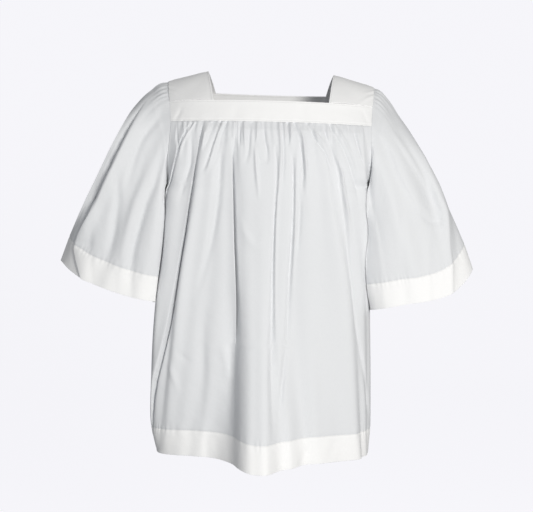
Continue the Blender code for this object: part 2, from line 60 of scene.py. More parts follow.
MM = 0.001
LENGTH = 750.0  # neck point of the shoulder down to the hem. Sizes are in millimetres all through
SHOULDER_HALF = 205.0
YOKE_FRONT_TOP, YOKE_FRONT_SEAM = -73.0, -115.0
UNDERARM = -245.0
LEAN = 0.03  # the shoulders slope down to the wearer's left, and the hem doesn't
SEAM_GAP = 0.04  # two pieces meet at a seam
DOUBLE_WALL = 1.5  # thickness of two layers with their turnings

# A level cut through the body: where the armhole or side seam is, how deep the body is from the middle to the front
# or back, how square its corners are, and how far it hangs to one side.
Section = namedtuple("Section", "height arm_x arm_y depth square shift")
FRONT_SECTIONS = (
    Section(-66, 198, 58, 106, 2.2, 0),
    Section(-73, 197, 62, 108, 2.2, 0),
    Section(-115, 192, 92, 122, 2.3, 0),
    Section(-150, 192, 104, 129, 2.4, -2),
    Section(-200, 195, 97, 132, 2.8, -4),
    Section(-232, 194, 64, 132, 3.6, -8),
    Section(-245, 194, 0, 132, 4.2, -9),
    Section(-295, 197, 0, 129, 4.1, -10),
    Section(-350, 199, 0, 126, 4.0, -10),
    Section(-470, 206, 0, 119, 3.6, -18),
    Section(-616, 214, 0, 110, 3.4, -20),
    Section(-706, 215, 0, 106, 3.2, -20),
    Section(-750, 208, 0, 104, 3.2, -17),
)


def smooth_through(stations, values, at):
    """Values of a smooth curve through the stations, level past both ends."""
    stations, values = np.asarray(stations, float), np.asarray(values, float)
    if stations[0] > stations[-1]:
        stations, values = stations[::-1], values[::-1]
    at = np.clip(at, stations[0], stations[-1])
    i = np.clip(np.searchsorted(stations, at) - 1, 0, len(stations) - 2)
    slopes = np.gradient(values, stations)
    span = stations[i + 1] - stations[i]
    t = (at - stations[i]) / span
    level = values[i] * (1 + 2 * t) * (1 - t) ** 2 + values[i + 1] * t * t * (3 - 2 * t)
    return level + span * (slopes[i] * t * (1 - t) ** 2 - slopes[i + 1] * t * t * (1 - t))


def section_at(sections, height):
    """The plan section of the garment at one height, or at an array of them."""
    heights, *columns = zip(*sections)
    arm_x, arm_y, depth, square, shift = (smooth_through(heights, column, height) for column in columns)
    arm_y = np.where(np.asarray(height) <= UNDERARM, 0.0, np.maximum(arm_y, 0.0))
    return Section(height, arm_x, arm_y, depth, square, shift)


def half_width(section):
    """Half the width that the section would have without its armholes."""
    return section.arm_x / (1 - (section.arm_y / section.depth) ** section.square) ** (1 / section.square)


def front_to_back(section, x, facing):
    """Where the section's front (facing -1) or back (facing 1) lies, at places across it."""
    share = np.minimum(np.abs(x - section.shift) / half_width(section), 1.0)
    return facing * section.depth * (1 - share**section.square) ** (1 / section.square)


def leant(points):
    """The points with the slope of the shoulders, which fades towards the hem."""
    points = np.array(points, float)
    points[..., 2] -= LEAN * points[..., 0] * np.clip(1 + points[..., 2] / LENGTH, 0, 1)
    return points


def graded(*stops):
    """Stations from the first stop to the last, each stop being (station, spacing there)."""
    stations, spacings = np.array(stops, float).T
    way = 1 if stations[-1] > stations[0] else -1
    found = [stations[0]]
    while (stations[-1] - found[-1]) * way > 0:
        found.append(found[-1] + way * np.interp(found[-1] * way, stations * way, spacings))
    found = np.array(found)
    return stations[0] + (found - stations[0]) * (stations[-1] - stations[0]) / (found[-1] - stations[0])


def outward(points, facing, closed_round=False):
    """Unit normals of a grid of points, rows down and columns across."""
    down = np.gradient(points, axis=0)
    across = np.gradient(points, axis=1)
    if closed_round:
        across[:, [0, -1]] = ((points[:, 1] - points[:, -2]) / 2)[:, None]
    normals = np.cross(down, across) * facing
    return normals / np.linalg.norm(normals, axis=2, keepdims=True)


def hill(off, width):
    """A soft bell, 1 in its middle and nearly 0 past twice its width."""
    return np.exp(-((off / width) ** 2))


def stitched_edge(inward, parts):
    """How the cloth lies near a topstitched edge, this far in from it. Each part is (rise, place, width)."""
    return sum(rise * hill(inward - place, width) for rise, place, width in parts)


def run_along(points):
    """How far each point lies along its row."""
    steps = np.linalg.norm(np.diff(points, axis=-2), axis=-1)
    return np.concatenate([np.zeros_like(steps[..., :1]), np.cumsum(steps, axis=-1)], axis=-1)


CREASE_STEPS, CREASE_REACH = 120, 3.0  # the places along a crease, and how many widths away it ends


def creased(points, creases):
    """How far soft ridges and troughs lift the cloth. A crease is its width to the right and to the left of the way it
    runs, and its path of (across, height, rise). A trough's rise is below 0."""
    x, z = points[..., 0], points[..., 2]
    lift = np.zeros(x.shape)
    for right, left, path in creases:
        run = run_along(np.array(path, float)[:, :2])
        fine = np.linspace(0.0, run[-1], CREASE_STEPS)
        across, height, rise = (smooth_through(run, values, fine) for values in zip(*path))
        reach = CREASE_REACH * max(right, left)
        near = (np.abs(x - (across.max() + across.min()) / 2) < np.ptp(across) / 2 + reach) & (
            np.abs(z - (height.max() + height.min()) / 2) < np.ptp(height) / 2 + reach
        )
        x_near, z_near = x[near][:, None], z[near][:, None]
        k = ((x_near - across) ** 2 + (z_near - height) ** 2).argmin(axis=1)
        way_x, way_z = np.gradient(across)[k], np.gradient(height)[k]
        off_x, off_z = x[near] - across[k], z[near] - height[k]
        step = np.hypot(way_x, way_z)
        beside = (way_x * off_z - way_z * off_x) / step
        onward = (way_x * off_x + way_z * off_z) / step**2
        here = np.interp(k + onward, np.arange(CREASE_STEPS), rise)
        lift[near] += here * hill(beside, np.where(beside > 0, left, right))
    return lift


def sheet_of_cloth(name, points, flat, walls, facing, material, closed_round=False):
    """A sheet from a grid of its outer points. flat is each point's place on the cut cloth, kept as its UVs in metres,
    walls the thickness of every row, and facing the way round that makes the faces point outwards."""
    rows, columns = points.shape[:2]
    bm = bmesh.new()
    bm.loops.layers.uv.new("cut")
    bmesh.ops.create_grid(bm, x_segments=columns - 1, y_segments=rows - 1, size=0.5, calc_uvs=True)
    for vertex, point in zip(bm.verts, points.reshape(-1, 3) * MM):
        vertex.co = point
    cut = bm.loops.layers.uv["cut"]
    places = flat.reshape(-1, 2) * MM
    for face in bm.faces:
        for loop in face.loops:
            loop[cut].uv = places[loop.vert.index]
    if facing > 0:
        bmesh.ops.reverse_faces(bm, faces=bm.faces)
    mesh = bpy.data.meshes.new(name)
    bm.to_mesh(mesh)
    piece = bpy.data.objects.new(name, mesh)
    bpy.context.scene.collection.objects.link(piece)
    thickest = max(walls)
    group = piece.vertex_groups.new(name="wall")
    for wall in sorted(set(walls)):
        inside = [r * columns + c for r in range(rows) if walls[r] == wall for c in range(columns)]
        group.add(inside, wall / thickest, "REPLACE")
    if closed_round:
        bm.clear()
        bm.from_mesh(mesh)
        bmesh.ops.remove_doubles(bm, verts=bm.verts, dist=1e-6)
        bm.to_mesh(mesh)
    bm.free()
    mesh.shade_smooth()
    mesh.materials.append(material)
    solid = piece.modifiers.new("wall", "SOLIDIFY")
    solid.thickness, solid.offset, solid.vertex_group = thickest * MM, -1.0, group.name
    return piece


DOUBLED_WHITE = (0.93, 0.93, 0.93)
THREAD, STITCH = 0.0006, 0.0028  # metres from one thread or stitch to the next
STITCH_SHARE, STITCH_HALF = 0.72, 0.00045  # how much of that a stitch fills, and half its thickness
# how much darker the colour is painted along the stitches: painted shade of the small furrows they pull in
STITCH_PAINTED_SHADE = 0.12


def cloth_finish(name, stitch_rows, colour=DOUBLED_WHITE, hem=0.0):
    """Plain-woven cotton. stitch_rows are the heights of its lines of stitches, along which its colour is painted
    darker as shade, and below hem the cloth is doubled and whiter. Both are in millimetres from the lower edge of the
    cut."""
    material = bpy.data.materials.new(name)
    material.use_nodes = True
    nodes, links = material.node_tree.nodes, material.node_tree.links

    def made(kind, *inputs, **settings):
        """A node with these settings. Each input takes a plain value or another node's output."""
        node = nodes.new("ShaderNode" + kind)
        for setting, value in settings.items():
            setattr(node, setting, value)
        for socket, value in inputs:
            if isinstance(value, bpy.types.NodeSocket):
                links.new(value, node.inputs[socket])
            else:
                node.inputs[socket].default_value = value
        return node

    def math_node(operation, *values):
        return made("Math", *enumerate(values), operation=operation).outputs[0]

    cut = made("UVMap", uv_map="cut").outputs["UV"]
    place = made("SeparateXYZ", (0, cut))
    across, up = place.outputs["X"], place.outputs["Y"]

    # Warp and weft cross at every thread, a few thicker yarns show as faint streaks, and the cloth is a little rumpled.
    waves = [math_node("SINE", math_node("MULTIPLY", way, 2 * math.pi / THREAD)) for way in (across, up)]
    weave = math_node("MULTIPLY", *waves)
    drawn_out = made("Mapping", ("Vector", cut), ("Scale", (900.0, 40.0, 1.0)))
    streaks = made("TexNoise", ("Vector", drawn_out.outputs["Vector"]), ("Detail", 2.0))
    rumple = made("TexNoise", ("Vector", cut), ("Scale", 42.0), ("Detail", 3.0))

    # Stitches are short dashes that pull the cloth in a little, and the colour is painted darker along them as shade.
    dashes = math_node("LESS_THAN", math_node("FRACT", math_node("MULTIPLY", across, 1 / STITCH)), STITCH_SHARE)
    stitches = 0.0
    for height in stitch_rows:
        on_line = math_node("COMPARE", up, height * MM, STITCH_HALF)
        stitches = math_node("ADD", stitches, math_node("MULTIPLY", on_line, dashes))

    in_hem = math_node("LESS_THAN", up, hem * MM)
    tone = made("Mix", ("Factor", in_hem), ("A", (*colour, 1.0)), ("B", (*DOUBLED_WHITE, 1.0)), data_type="RGBA")
    shade = made(
        "MapRange", ("Value", streaks.outputs["Fac"]),
        ("From Min", 0.3), ("From Max", 0.7), ("To Min", 0.97), ("To Max", 1.0),
    )
    # The colour is painted darker along the stitches, as painted shade of their small furrows.
    stitched = math_node("SUBTRACT", shade.outputs["Result"], math_node("MULTIPLY", stitches, STITCH_PAINTED_SHADE))
    grey = made("CombineColor", ("Red", stitched), ("Green", stitched), ("Blue", stitched))
    # The yarn streaks are the cloth's own tone, and the darker stitch lines in it are painted shade.
    streaks_and_stitch_shade = made(
        "Mix", ("Factor", 1.0), ("A", tone.outputs["Result"]), ("B", grey.outputs["Color"]),
        data_type="RGBA", blend_type="MULTIPLY",
    )
    shader = nodes["Principled BSDF"]
    for socket, value in (
        ("Roughness", 0.82), ("Sheen Weight", 0.12), ("Sheen Roughness", 0.45), ("Specular IOR Level", 0.25),
    ):
        shader.inputs[socket].default_value = value
    links.new(streaks_and_stitch_shade.outputs["Result"], shader.inputs["Base Color"])
    fine = made("Bump", ("Height", weave), ("Strength", 0.35), ("Distance", 0.00004))
    soft = made(
        "Bump", ("Height", rumple.outputs["Fac"]), ("Normal", fine.outputs["Normal"]),
        ("Strength", 0.5), ("Distance", 0.0016),
    )
    sunk = made(
        "Bump", ("Height", stitches), ("Normal", soft.outputs["Normal"]),
        ("Strength", 0.6), ("Distance", 0.0003), invert=True,
    )
    links.new(sunk.outputs["Normal"], shader.inputs["Normal"])
    return material


TOPSTITCH = 3.0  # the lines of stitching lie this far from a band's edges
BAND_ROUND = 1.12  # a band is this much longer round the chest than straight across it
BAND_EDGE = ((0.45, 5.0, 2.4), (-0.3, 2.6, 1.2))  # proud over the turnings, and drawn in along the stitches
BAND_RIPPLE, RIPPLE_REACH = 0.25, 9.0
front_band_cloth = cloth_finish("front_band_cloth", (TOPSTITCH, YOKE_FRONT_TOP - YOKE_FRONT_SEAM - TOPSTITCH))


def yoke_band(name, sections, facing, top_of, seam, creases, material):
    """A band of the yoke, which ripples a little along the gathered seam. top_of gives the height of its upper edge at
    places across it."""
    ways = graded((0, 0.012), (0.1, 0.04), (0.9, 0.04), (1, 0.012))
    across = graded((-1, 0.002), (-0.97, 0.014), (0.97, 0.014), (1, 0.002))
    t, u = np.meshgrid(ways, across, indexing="ij")
    end_heights = top_of(SHOULDER_HALF) * (1 - t) + seam * t
    x = u * (section_at(sections, end_heights).arm_x - SEAM_GAP / 2)
    z = (top_of(np.abs(x)) - SEAM_GAP) * (1 - t) + seam * t
    points = np.stack([x, front_to_back(section_at(sections, z), x, facing), z], axis=2)
    up = z - seam
    ripple = BAND_RIPPLE * np.sin(x / 5.3 + 1.4 * np.sin(x / 23.0)) * hill(up, RIPPLE_REACH)
    lift = creased(points, creases) + stitched_edge(up, BAND_EDGE) + ripple
    points += outward(points, -facing) * lift[..., None]
    flat = np.stack([x * BAND_ROUND, up], axis=2)
    return sheet_of_cloth(name, leant(points), flat, [DOUBLE_WALL] * len(ways), -facing, material)


FRONT_BAND_CREASES = (
    (3.0, 4.5, ((-172, -84, 0), (-176, -96, -1.5), (-181, -108, -1.5), (-184, -118, 0))),
    (4.0, 3.0, ((176, -78, 0), (179, -92, -1.3), (184, -106, -1.5), (187, -120, 0))),
    (9.0, 9.0, ((-60, -70, 0), (-66, -94, -0.8), (-70, -118, 0))),
    (11.0, 8.0, ((64, -70, 0), (60, -92, -0.7), (66, -118, 0))),
    (1.6, 1.6, ((-109, -60, -0.35), (-109, -94, -0.35), (-109, -120, -0.35))),
    (1.6, 1.6, ((110, -60, -0.35), (111, -94, -0.35), (111, -120, -0.35))),
)
yoke_front = yoke_band(
    "front_band", FRONT_SECTIONS, -1, lambda x: YOKE_FRONT_TOP + 0 * x, YOKE_FRONT_SEAM,
    FRONT_BAND_CREASES, front_band_cloth,
)
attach(yoke_front, "root")
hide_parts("yoke_front")

# ---- Back band of the yoke -----------------------------------------------------------------------------------------
# The same doubled cotton across the shoulder blades, deeper than the front one. Its upper edge is level at the neck
# and falls away to the shoulders, and the back is gathered into its lower edge.

NECK_HALF_BACK = 114.0
YOKE_BACK_TOP, YOKE_BACK_SEAM = -34.0, -90.0
YOKE_BACK_SLOPE = 16.0
BACK_SECTIONS = (
    Section(-30, 206, 40, 84, 2.2, 0),
    Section(-50, 201, 62, 92, 2.2, 0),
    Section(-90, 194, 84, 108, 2.3, 0),
    Section(-150, 192, 86, 122, 2.4, -2),
    Section(-200, 195, 60, 127, 2.5, -4),
    Section(-232, 194, 24, 128, 2.6, -8),
    Section(-245, 194, 0, 128, 2.6, -9),
    Section(-295, 197, 0, 128, 2.6, -10),
    Section(-350, 199, 0, 127, 2.5, -10),
    Section(-470, 206, 0, 126, 2.5, -18),
    Section(-616, 214, 0, 124, 2.4, -20),
    Section(-706, 215, 0, 122, 2.4, -20),
    Section(-750, 208, 0, 121, 2.4, -17),
)


def back_top(x):
    """The height of the back band's upper edge, this far from its middle."""
    past_neck = np.maximum(0.0, x - NECK_HALF_BACK) / (SHOULDER_HALF - NECK_HALF_BACK)
    return YOKE_BACK_TOP - YOKE_BACK_SLOPE * np.minimum(1.0, past_neck)


BACK_BAND_CREASES = (
    (3.5, 5.0, ((-178, -52, 0), (-182, -70, -1.4), (-187, -86, -0.6), (-190, -94, 0))),
    (5.0, 3.5, ((174, -50, 0), (180, -68, -1.3), (188, -84, -0.6), (190, -94, 0))),
    (12.0, 10.0, ((-40, -32, 0), (-46, -60, -0.9), (-52, -94, 0))),
    (10.0, 12.0, ((52, -32, 0), (48, -62, -0.8), (56, -94, 0))),
    (1.6, 1.6, ((-114, -20, -0.35), (-114, -60, -0.35), (-114, -96, -0.35))),
    (1.6, 1.6, ((114, -20, -0.35), (114, -60, -0.35), (114, -96, -0.35))),
)
back_band_cloth = cloth_finish("back_band_cloth", (TOPSTITCH, YOKE_BACK_TOP - YOKE_BACK_SEAM - TOPSTITCH))
yoke_back = yoke_band("back_band", BACK_SECTIONS, 1, back_top, YOKE_BACK_SEAM, BACK_BAND_CREASES, back_band_cloth)
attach(yoke_back, "root")
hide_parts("yoke_back")

# ---- Shoulder straps -----------------------------------------------------------------------------------------------
# Two short doubled pieces over the shoulders, sewn to both bands. They make the square neck and carry the whole
# garment. Each is pulled into a few slanting creases where the sleeve hangs from it.

STRAP_LENGTH, STRAP_WIDTH = 176.0, 84.0
NECK_HALF_FRONT, NECK_HALF_RIDGE = 110.0, 125.0
SHOULDER_DROP = 22.0
NECK_POINT, RIDGE_Y = -4.0, 3.0  # the shoulder ridge at the neck, and how far it lies behind the origin


def strap_points(share, along, side):
    """Points of a strap. share is 0 at the neck and 1 at the armhole, along -1 at the front band and 1 at the back."""
    front_end, back_end = section_at(FRONT_SECTIONS, YOKE_FRONT_TOP), section_at(BACK_SECTIONS, back_top(SHOULDER_HALF))
    front_x = NECK_HALF_FRONT + (front_end.arm_x - NECK_HALF_FRONT) * share
    back_x = NECK_HALF_BACK + (back_end.arm_x - NECK_HALF_BACK) * share
    front_y = front_to_back(front_end, front_x, -1)
    back_z = back_top(back_x)
    back_y = front_to_back(section_at(BACK_SECTIONS, back_z), back_x, 1)
    ridge_x = NECK_HALF_RIDGE + (SHOULDER_HALF - NECK_HALF_RIDGE) * share
    ridge_z = NECK_POINT - SHOULDER_DROP * share**1.15
    to_front = along < 0
    end_x = np.where(to_front, front_x, back_x)
    end_y = np.where(to_front, front_y, back_y)
    end_z = np.where(to_front, YOKE_FRONT_TOP, back_z)
    far = np.abs(along)
    x = ridge_x + (end_x - ridge_x) * far**1.3
    y = RIDGE_Y + (end_y - RIDGE_Y) * far
    z = ridge_z + (end_z - ridge_z) * far**1.7
    return np.stack(np.broadcast_arrays(side * x, y, z), axis=-1)


StrapPull = namedtuple("StrapPull", "share along reach width rise")
STRAP_PULLS = (  # slanting creases at the armhole end, nearer to the neck as they come forward
    StrapPull(0.93, -0.74, 0.22, 0.045, -1.6),
    StrapPull(0.97, -0.50, 0.16, 0.040, -1.3),
    StrapPull(0.95, 0.10, 0.14, 0.050, -0.9),
    StrapPull(0.96, 0.55, 0.18, 0.045, -1.3),
)
PULL_SLANT = 0.9
STRAP_EDGE = ((0.4, 5.0, 2.2), (-0.3, 2.8, 1.1))
STRAP_WAVE = 0.5
strap_cloth = cloth_finish("strap_cloth", (TOPSTITCH,))
for name, side, node in (("right_strap", -1, "strap_right"), ("left_strap", 1, "strap_left")):
    along = graded((-1, 0.006), (-0.94, 0.035), (0.94, 0.035), (1, 0.006))
    share = graded((0, 0.007), (0.06, 0.03), (0.94, 0.03), (1, 0.007))
    s, w = np.meshgrid(along, share, indexing="ij")
    points = strap_points(w, s, side)
    lift = np.zeros(s.shape)
    for pull in STRAP_PULLS:
        slant = s - pull.along - PULL_SLANT * (w - pull.share)
        lift += pull.rise * hill(slant, pull.width) * hill(w - pull.share, pull.reach)
    from_neck = w * STRAP_WIDTH
    lift += stitched_edge(from_neck, STRAP_EDGE)
    lift += STRAP_WAVE * np.sin(9 * s + 5 * w) * np.sin(math.pi * w)
    points += outward(points, side) * lift[..., None]
    flat = np.stack([s * STRAP_LENGTH / 2, from_neck], axis=2)
    strap = sheet_of_cloth(name, leant(points), flat, [DOUBLE_WALL] * len(along), side, strap_cloth)
    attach(strap, "root")
    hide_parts(node)

# ---- Gathered front ------------------------------------------------------------------------------------------------
# One wide length of thin white cotton, drawn up in many small gathers into the yoke and turned up in a deep hem. The
# gathers run together into eleven folds, which fan out downwards, with the widest one in the middle.

SINGLE_WHITE = (0.765, 0.777, 0.795)  # one layer is a little grey, because light goes through it
SINGLE_WALL = 0.7
FOLD_HEIGHTS = (-115.0, -190.0, -420.0, -750.0)
Fold = namedtuple("Fold", "x_yoke x_chest x_waist x_hem rise_yoke rise_chest rise_waist rise_hem tuck tuck_hem floor")
FRONT_FOLDS = (
    Fold(-160, -168, -190, -226, 3, 6, 5, 1, 0.35, 0.40, 0.0),
    Fold(-124, -131, -166, -204, 3, 9, 14, 4, 0.62, 0.50, 0.2),
    Fold(-100, -105, -134, -172, 3, 7, 6, 5, 0.40, 0.50, 0.7),
    Fold(-80, -87, -98, -136, 3, 6, 6, 8, 0.50, 0.50, 0.3),
    Fold(-60, -56, -48, -52, 3, 8, 14, 80, 0.60, 0.50, 0.3),
    Fold(-18, -17, -14, -6, 3, 9, 16, 86, 0.50, 0.50, 0.98),
    Fold(24, 28, 18, 34, 3, 9, 14, 60, 0.55, 0.50, 0.85),
    Fold(60, 68, 64, 84, 3, 10, 12, 38, 0.50, 0.50, 0.70),
    Fold(96, 101, 136, 160, 3, 9, 15, 20, 0.50, 0.55, 0.55),
    Fold(128, 132, 166, 178, 3, 7, 8, 6, 0.25, 0.40, 0.30),
    Fold(162, 170, 182, 190, 3, 9, 9, 1, 0.50, 0.50, 0.20),
)
HEM = 49.0  # turned up at the lower edge of the body and the sleeves
FULL_TUCK_RISE = 14.0  # a crest has to rise this much before it stands over its hollow
TUCK_CHANGES = -330.0  # from here down each fold's tuck turns into its tuck_hem
CREST_GAIN = 1.35  # rounding a fold lowers its crest, so it is raised by this first
FOLD_START, RAY_START, CREASE_START = 16.0, 45.0, 2.5  # how far below the seam each stands at its full height
GATHER_RISE, GATHER_SWELL = 3.4, 9.0  # how proud a gather stands, and how far below the seam it gets there
GATHER_STEEP = 0.95  # a gather rises no more than this share of its half width
GATHER_WIDTH, GATHER_WIDENS, WIDE_AT = 0.62, 0.55, 80.0  # in half gathers, and how far below the seam it has widened
DRIFT_AT, DRIFT_CURVE = 70.0, 1.4  # how far below the seam a gather has drifted aside by its whole drift
GATHER_SINK, GATHER_SINK_REACH = 0.4, 40.0  # the cloth between the gathers sinks by this share of their rise
RAY_RISE = 1.2  # how proud the longer folds stand that gathers run together into
FLAT_EDGE, FLAT_END = 2.0, 16.0  # beside the armholes and side seams a panel is flat, and ungathered this near them
HEM_DROPS = (  # places across the front, and how much lower its hem hangs there
    (-240, 0), (-120, 0), (-66, 5), (-34, 12), (-8, 13), (24, 10), (70, 6), (150, 6), (200, 4)
)
FRONT_PITCH, FRONT_HEM_PITCH = 5.4, 20.0  # half a gather at the seam, and the cloth it takes up at the hem
FINER = 12  # places worked out to half a gather, before the mesh's own columns are set among them
FRONT_WIDTH, FRONT_COLUMNS = 600.0, 292  # of the cut cloth, and of the mesh

Gather = namedtuple("Gather", "place rise length drift")
Contour = namedtuple("Contour", "along points normals")
TUCK_EDGE = 0.7  # how far the cloth of a pressed fold takes to turn down into its hollow
TUCK_LAP, TUCK_LAP_SHARE = 2.4, 0.3  # how far it lies over the hollow, at most and as a share of its depth
TUCK_LIP, TUCK_LIP_WIDER = 0.22, 4.0  # how proud its edge stands, as a share of its depth, and how much wider
TUCK_UNDER = 0.8  # the cloth in the hollow slides under by this share of the lap
TUCK_CLOSER, TUCK_CLOSE_REACH = 3.0, 4.5  # the mesh's columns are this much closer near a tuck
GATHER_LENGTHS, RAY_LENGTHS = (22, 66), (70, 170)
PUCKER_REACH, HEM_FURROW, HEM_FURROW_WIDTH = 9.0, 0.7, 2.0


def level_line(sections, height, facing):
    """The line of a body panel at one height, from the wearer's right to their left."""
    s = section_at(sections, height)
    wide, power = half_width(s), 2 / s.square
    start = math.atan2((s.arm_y / s.depth) ** (s.square / 2), (s.arm_x / wide) ** (s.square / 2))
    angles = np.linspace(math.pi - start, start, 181)
    c, sn = np.cos(angles), np.sin(angles)
    x = wide * np.sign(c) * np.abs(c) ** power + s.shift
    y = facing * s.depth * np.abs(sn) ** power
    points = np.stack([x, y, np.full_like(x, height)], axis=1)
    out_x, out_y = np.sign(c) * np.abs(c) ** (2 - power) / wide, facing * np.abs(sn) ** (2 - power) / s.depth
    normals = np.stack([out_x, out_y, np.zeros_like(x)], axis=1)
    return Contour(run_along(points), points, normals / np.linalg.norm(normals, axis=1, keepdims=True))


def fold_line(crests, rises, tucks, floors, start, end):
    """Crests and the hollows between them, as (along, rise), from one edge of a panel to the other."""
    controls = [(start, 0.0)]
    before, rise_before = start, 0.0
    for crest, rise, tuck, floor in zip(crests, rises, tucks, floors):
        share = 0.5 + (tuck - 0.5) * min(1.0, rise / FULL_TUCK_RISE)
        controls.append((before + (crest - before) * share, floor * min(rise, rise_before) * CREST_GAIN))
        controls.append((crest, rise * CREST_GAIN))
        before, rise_before = crest, rise
    return np.array(controls + [((before + end) / 2, 0.0), (end, 0.0)])


def folds_at(sections, folds, height, facing):
    """A panel's level line at one height, and its crests and hollows along it."""
    line = level_line(sections, height, facing)
    columns = list(zip(*folds))
    crests_x = np.array([smooth_through(FOLD_HEIGHTS, at, height) for at in zip(*columns[0:4])])
    rises = np.array([smooth_through(FOLD_HEIGHTS, at, height) for at in zip(*columns[4:8])])
    crests = np.interp(crests_x, line.points[:, 0], line.along)
    low = min(1.0, max(0.0, (TUCK_CHANGES - height) / (TUCK_CHANGES + LENGTH)))
    tucks = np.array(columns[8]) * (1 - low) + np.array(columns[9]) * low
    return line, fold_line(crests, rises, tucks, columns[10], SEAM_GAP / 2, line.along[-1] - SEAM_GAP / 2)


def rounded(controls, at):
    """A cubic B-spline that starts and ends on its end controls, read at places counted in controls."""
    ends = np.vstack([2 * controls[0] - controls[1], controls, 2 * controls[-1] - controls[-2]])
    i = np.minimum(at.astype(int), len(controls) - 2)
    t = (at - i)[:, None]
    parts = ((1 - t) ** 3, 3 * t**3 - 6 * t**2 + 4, 1 + 3 * t + 3 * t**2 - 3 * t**3, t**3)
    return sum(part * ends[i + k] for k, part in enumerate(parts)) / 6


def half_gathers(sections, folds, seam, facing, seam_pitch, hem_pitch):
    """Places across a panel, counted in controls of the fold line and in half gathers."""
    lengths = []
    for height, pitch in ((seam, seam_pitch), (-LENGTH, hem_pitch)):
        controls = folds_at(sections, folds, height, facing)[1]
        lengths.append(np.linalg.norm(np.diff(controls, axis=0), axis=1) / pitch)
    counts = [max(1, round(a), round(b)) for a, b in zip(*lengths)]
    in_controls = [i + np.arange(n * FINER) / (n * FINER) for i, n in enumerate(counts)]
    return np.append(np.concatenate(in_controls), len(counts)), np.arange(sum(counts) * FINER + 1) / FINER


def drawn_up(seed, count, shortest, longest):
    """The gathers of a piece, each with its own rise and length, and their places counted in half gathers."""
    draw = np.random.default_rng(seed).uniform
    return [
        Gather(2 * i + 1 + draw(-0.3, 0.3), draw(0.7, 1.2), draw(shortest, longest), draw(-1, 1))
        for i in range(count)
    ]


def gathered(gathers, half_gather, fall):
    """How far the gathers lift the cloth at places counted in half gathers, this far below the seam."""
    lift = np.zeros(len(half_gather))
    width = GATHER_WIDTH + GATHER_WIDENS * min(1.0, fall / WIDE_AT)
    for g in gathers:
        middle = g.place + g.drift * (fall / DRIFT_AT) ** DRIFT_CURVE
        lift += g.rise * hill(fall, g.length) * hill(half_gather - middle, width)
    return lift


def tucked(points, base, normals, facing, tucks):
    """Pressed folds, where the cloth lies over itself. A tuck is the side that lies on top, -1 for the wearer's right,
    and its path of (across, height, depth, width of the hollow) down the cloth. base is the cloth without its folds.
    Gives the points, and how close together the mesh's columns should be."""
    points, close = points.copy(), np.ones(points.shape[:2])
    along = run_along(base)
    tangents = np.gradient(base, axis=1)
    tangents /= np.linalg.norm(tangents, axis=2, keepdims=True)
    for over, path in tucks:
        across, height, depth, width = np.array(path, float)[::-1].T
        for r, row in enumerate(base):
            apart = row[:, 0] - np.interp(row[:, 2], height, across)
            inside = (row[:, 1] * facing > 0) & (row[:, 2] > height[0]) & (row[:, 2] < height[-1])
            crossed = np.flatnonzero((apart[:-1] * apart[1:] <= 0) & inside[:-1])
            if not len(crossed):
                continue
            c = crossed[0]
            at = along[r, c] + (along[r, c + 1] - along[r, c]) * apart[c] / (apart[c] - apart[c + 1])
            deep, wide = (np.interp(row[c, 2], height, values) for values in (depth, width))
            way = -over * math.copysign(1.0, tangents[r, c, 0])
            off = (along[r] - at) * way
            below = 0.5 + 0.5 * np.tanh(off / TUCK_EDGE)
            hollow, lip = below * hill(off, wide), (1 - below) * hill(off, wide + TUCK_LIP_WIDER)
            lift = (lip * TUCK_LIP - hollow) * deep
            slide = (lip - TUCK_UNDER * hollow) * min(TUCK_LAP, TUCK_LAP_SHARE * deep) * way
            points[r] += normals[r] * lift[:, None] + tangents[r] * slide[:, None]
            close[r] += TUCK_CLOSER * min(1.0, deep / 4.0) * hill(off, TUCK_CLOSE_REACH)
    return points, close


def read_at(places, along, rows):
    """Points or normals read between those in rows, at places along them."""
    return np.stack([np.interp(places, along, rows[:, k]) for k in range(3)], axis=1)


def resampled(points, close, count):
    """The same rows in this many columns."""
    grid = np.empty((len(points), count, 3))
    for r, row in enumerate(points):
        run = np.append(0.0, np.cumsum((close[r, 1:] + close[r, :-1]) / 2))
        grid[r] = read_at(np.linspace(0.0, run[-1], count), run, row)
    return grid


def cut_flat(grid, width, heights):
    """Each point's place on the cut cloth, the rows being this far above its lower edge."""
    across = run_along(grid)
    return np.stack(np.broadcast_arrays(across / across[:, -1:] * width, np.asarray(heights)[:, None]), axis=2)


def hem_line(up, pucker, quick, slow):
    """How a hem's row of stitches draws the cloth in at a height above its lower edge: along a fine line, and in
    uneven puckers on both sides of it, which come and go as quick and slow do."""
    puckers = pucker * np.sin(quick + 1.7 * np.sin(slow)) * hill(up - HEM, PUCKER_REACH)
    return puckers - HEM_FURROW * hill(up - HEM, HEM_FURROW_WIDTH)


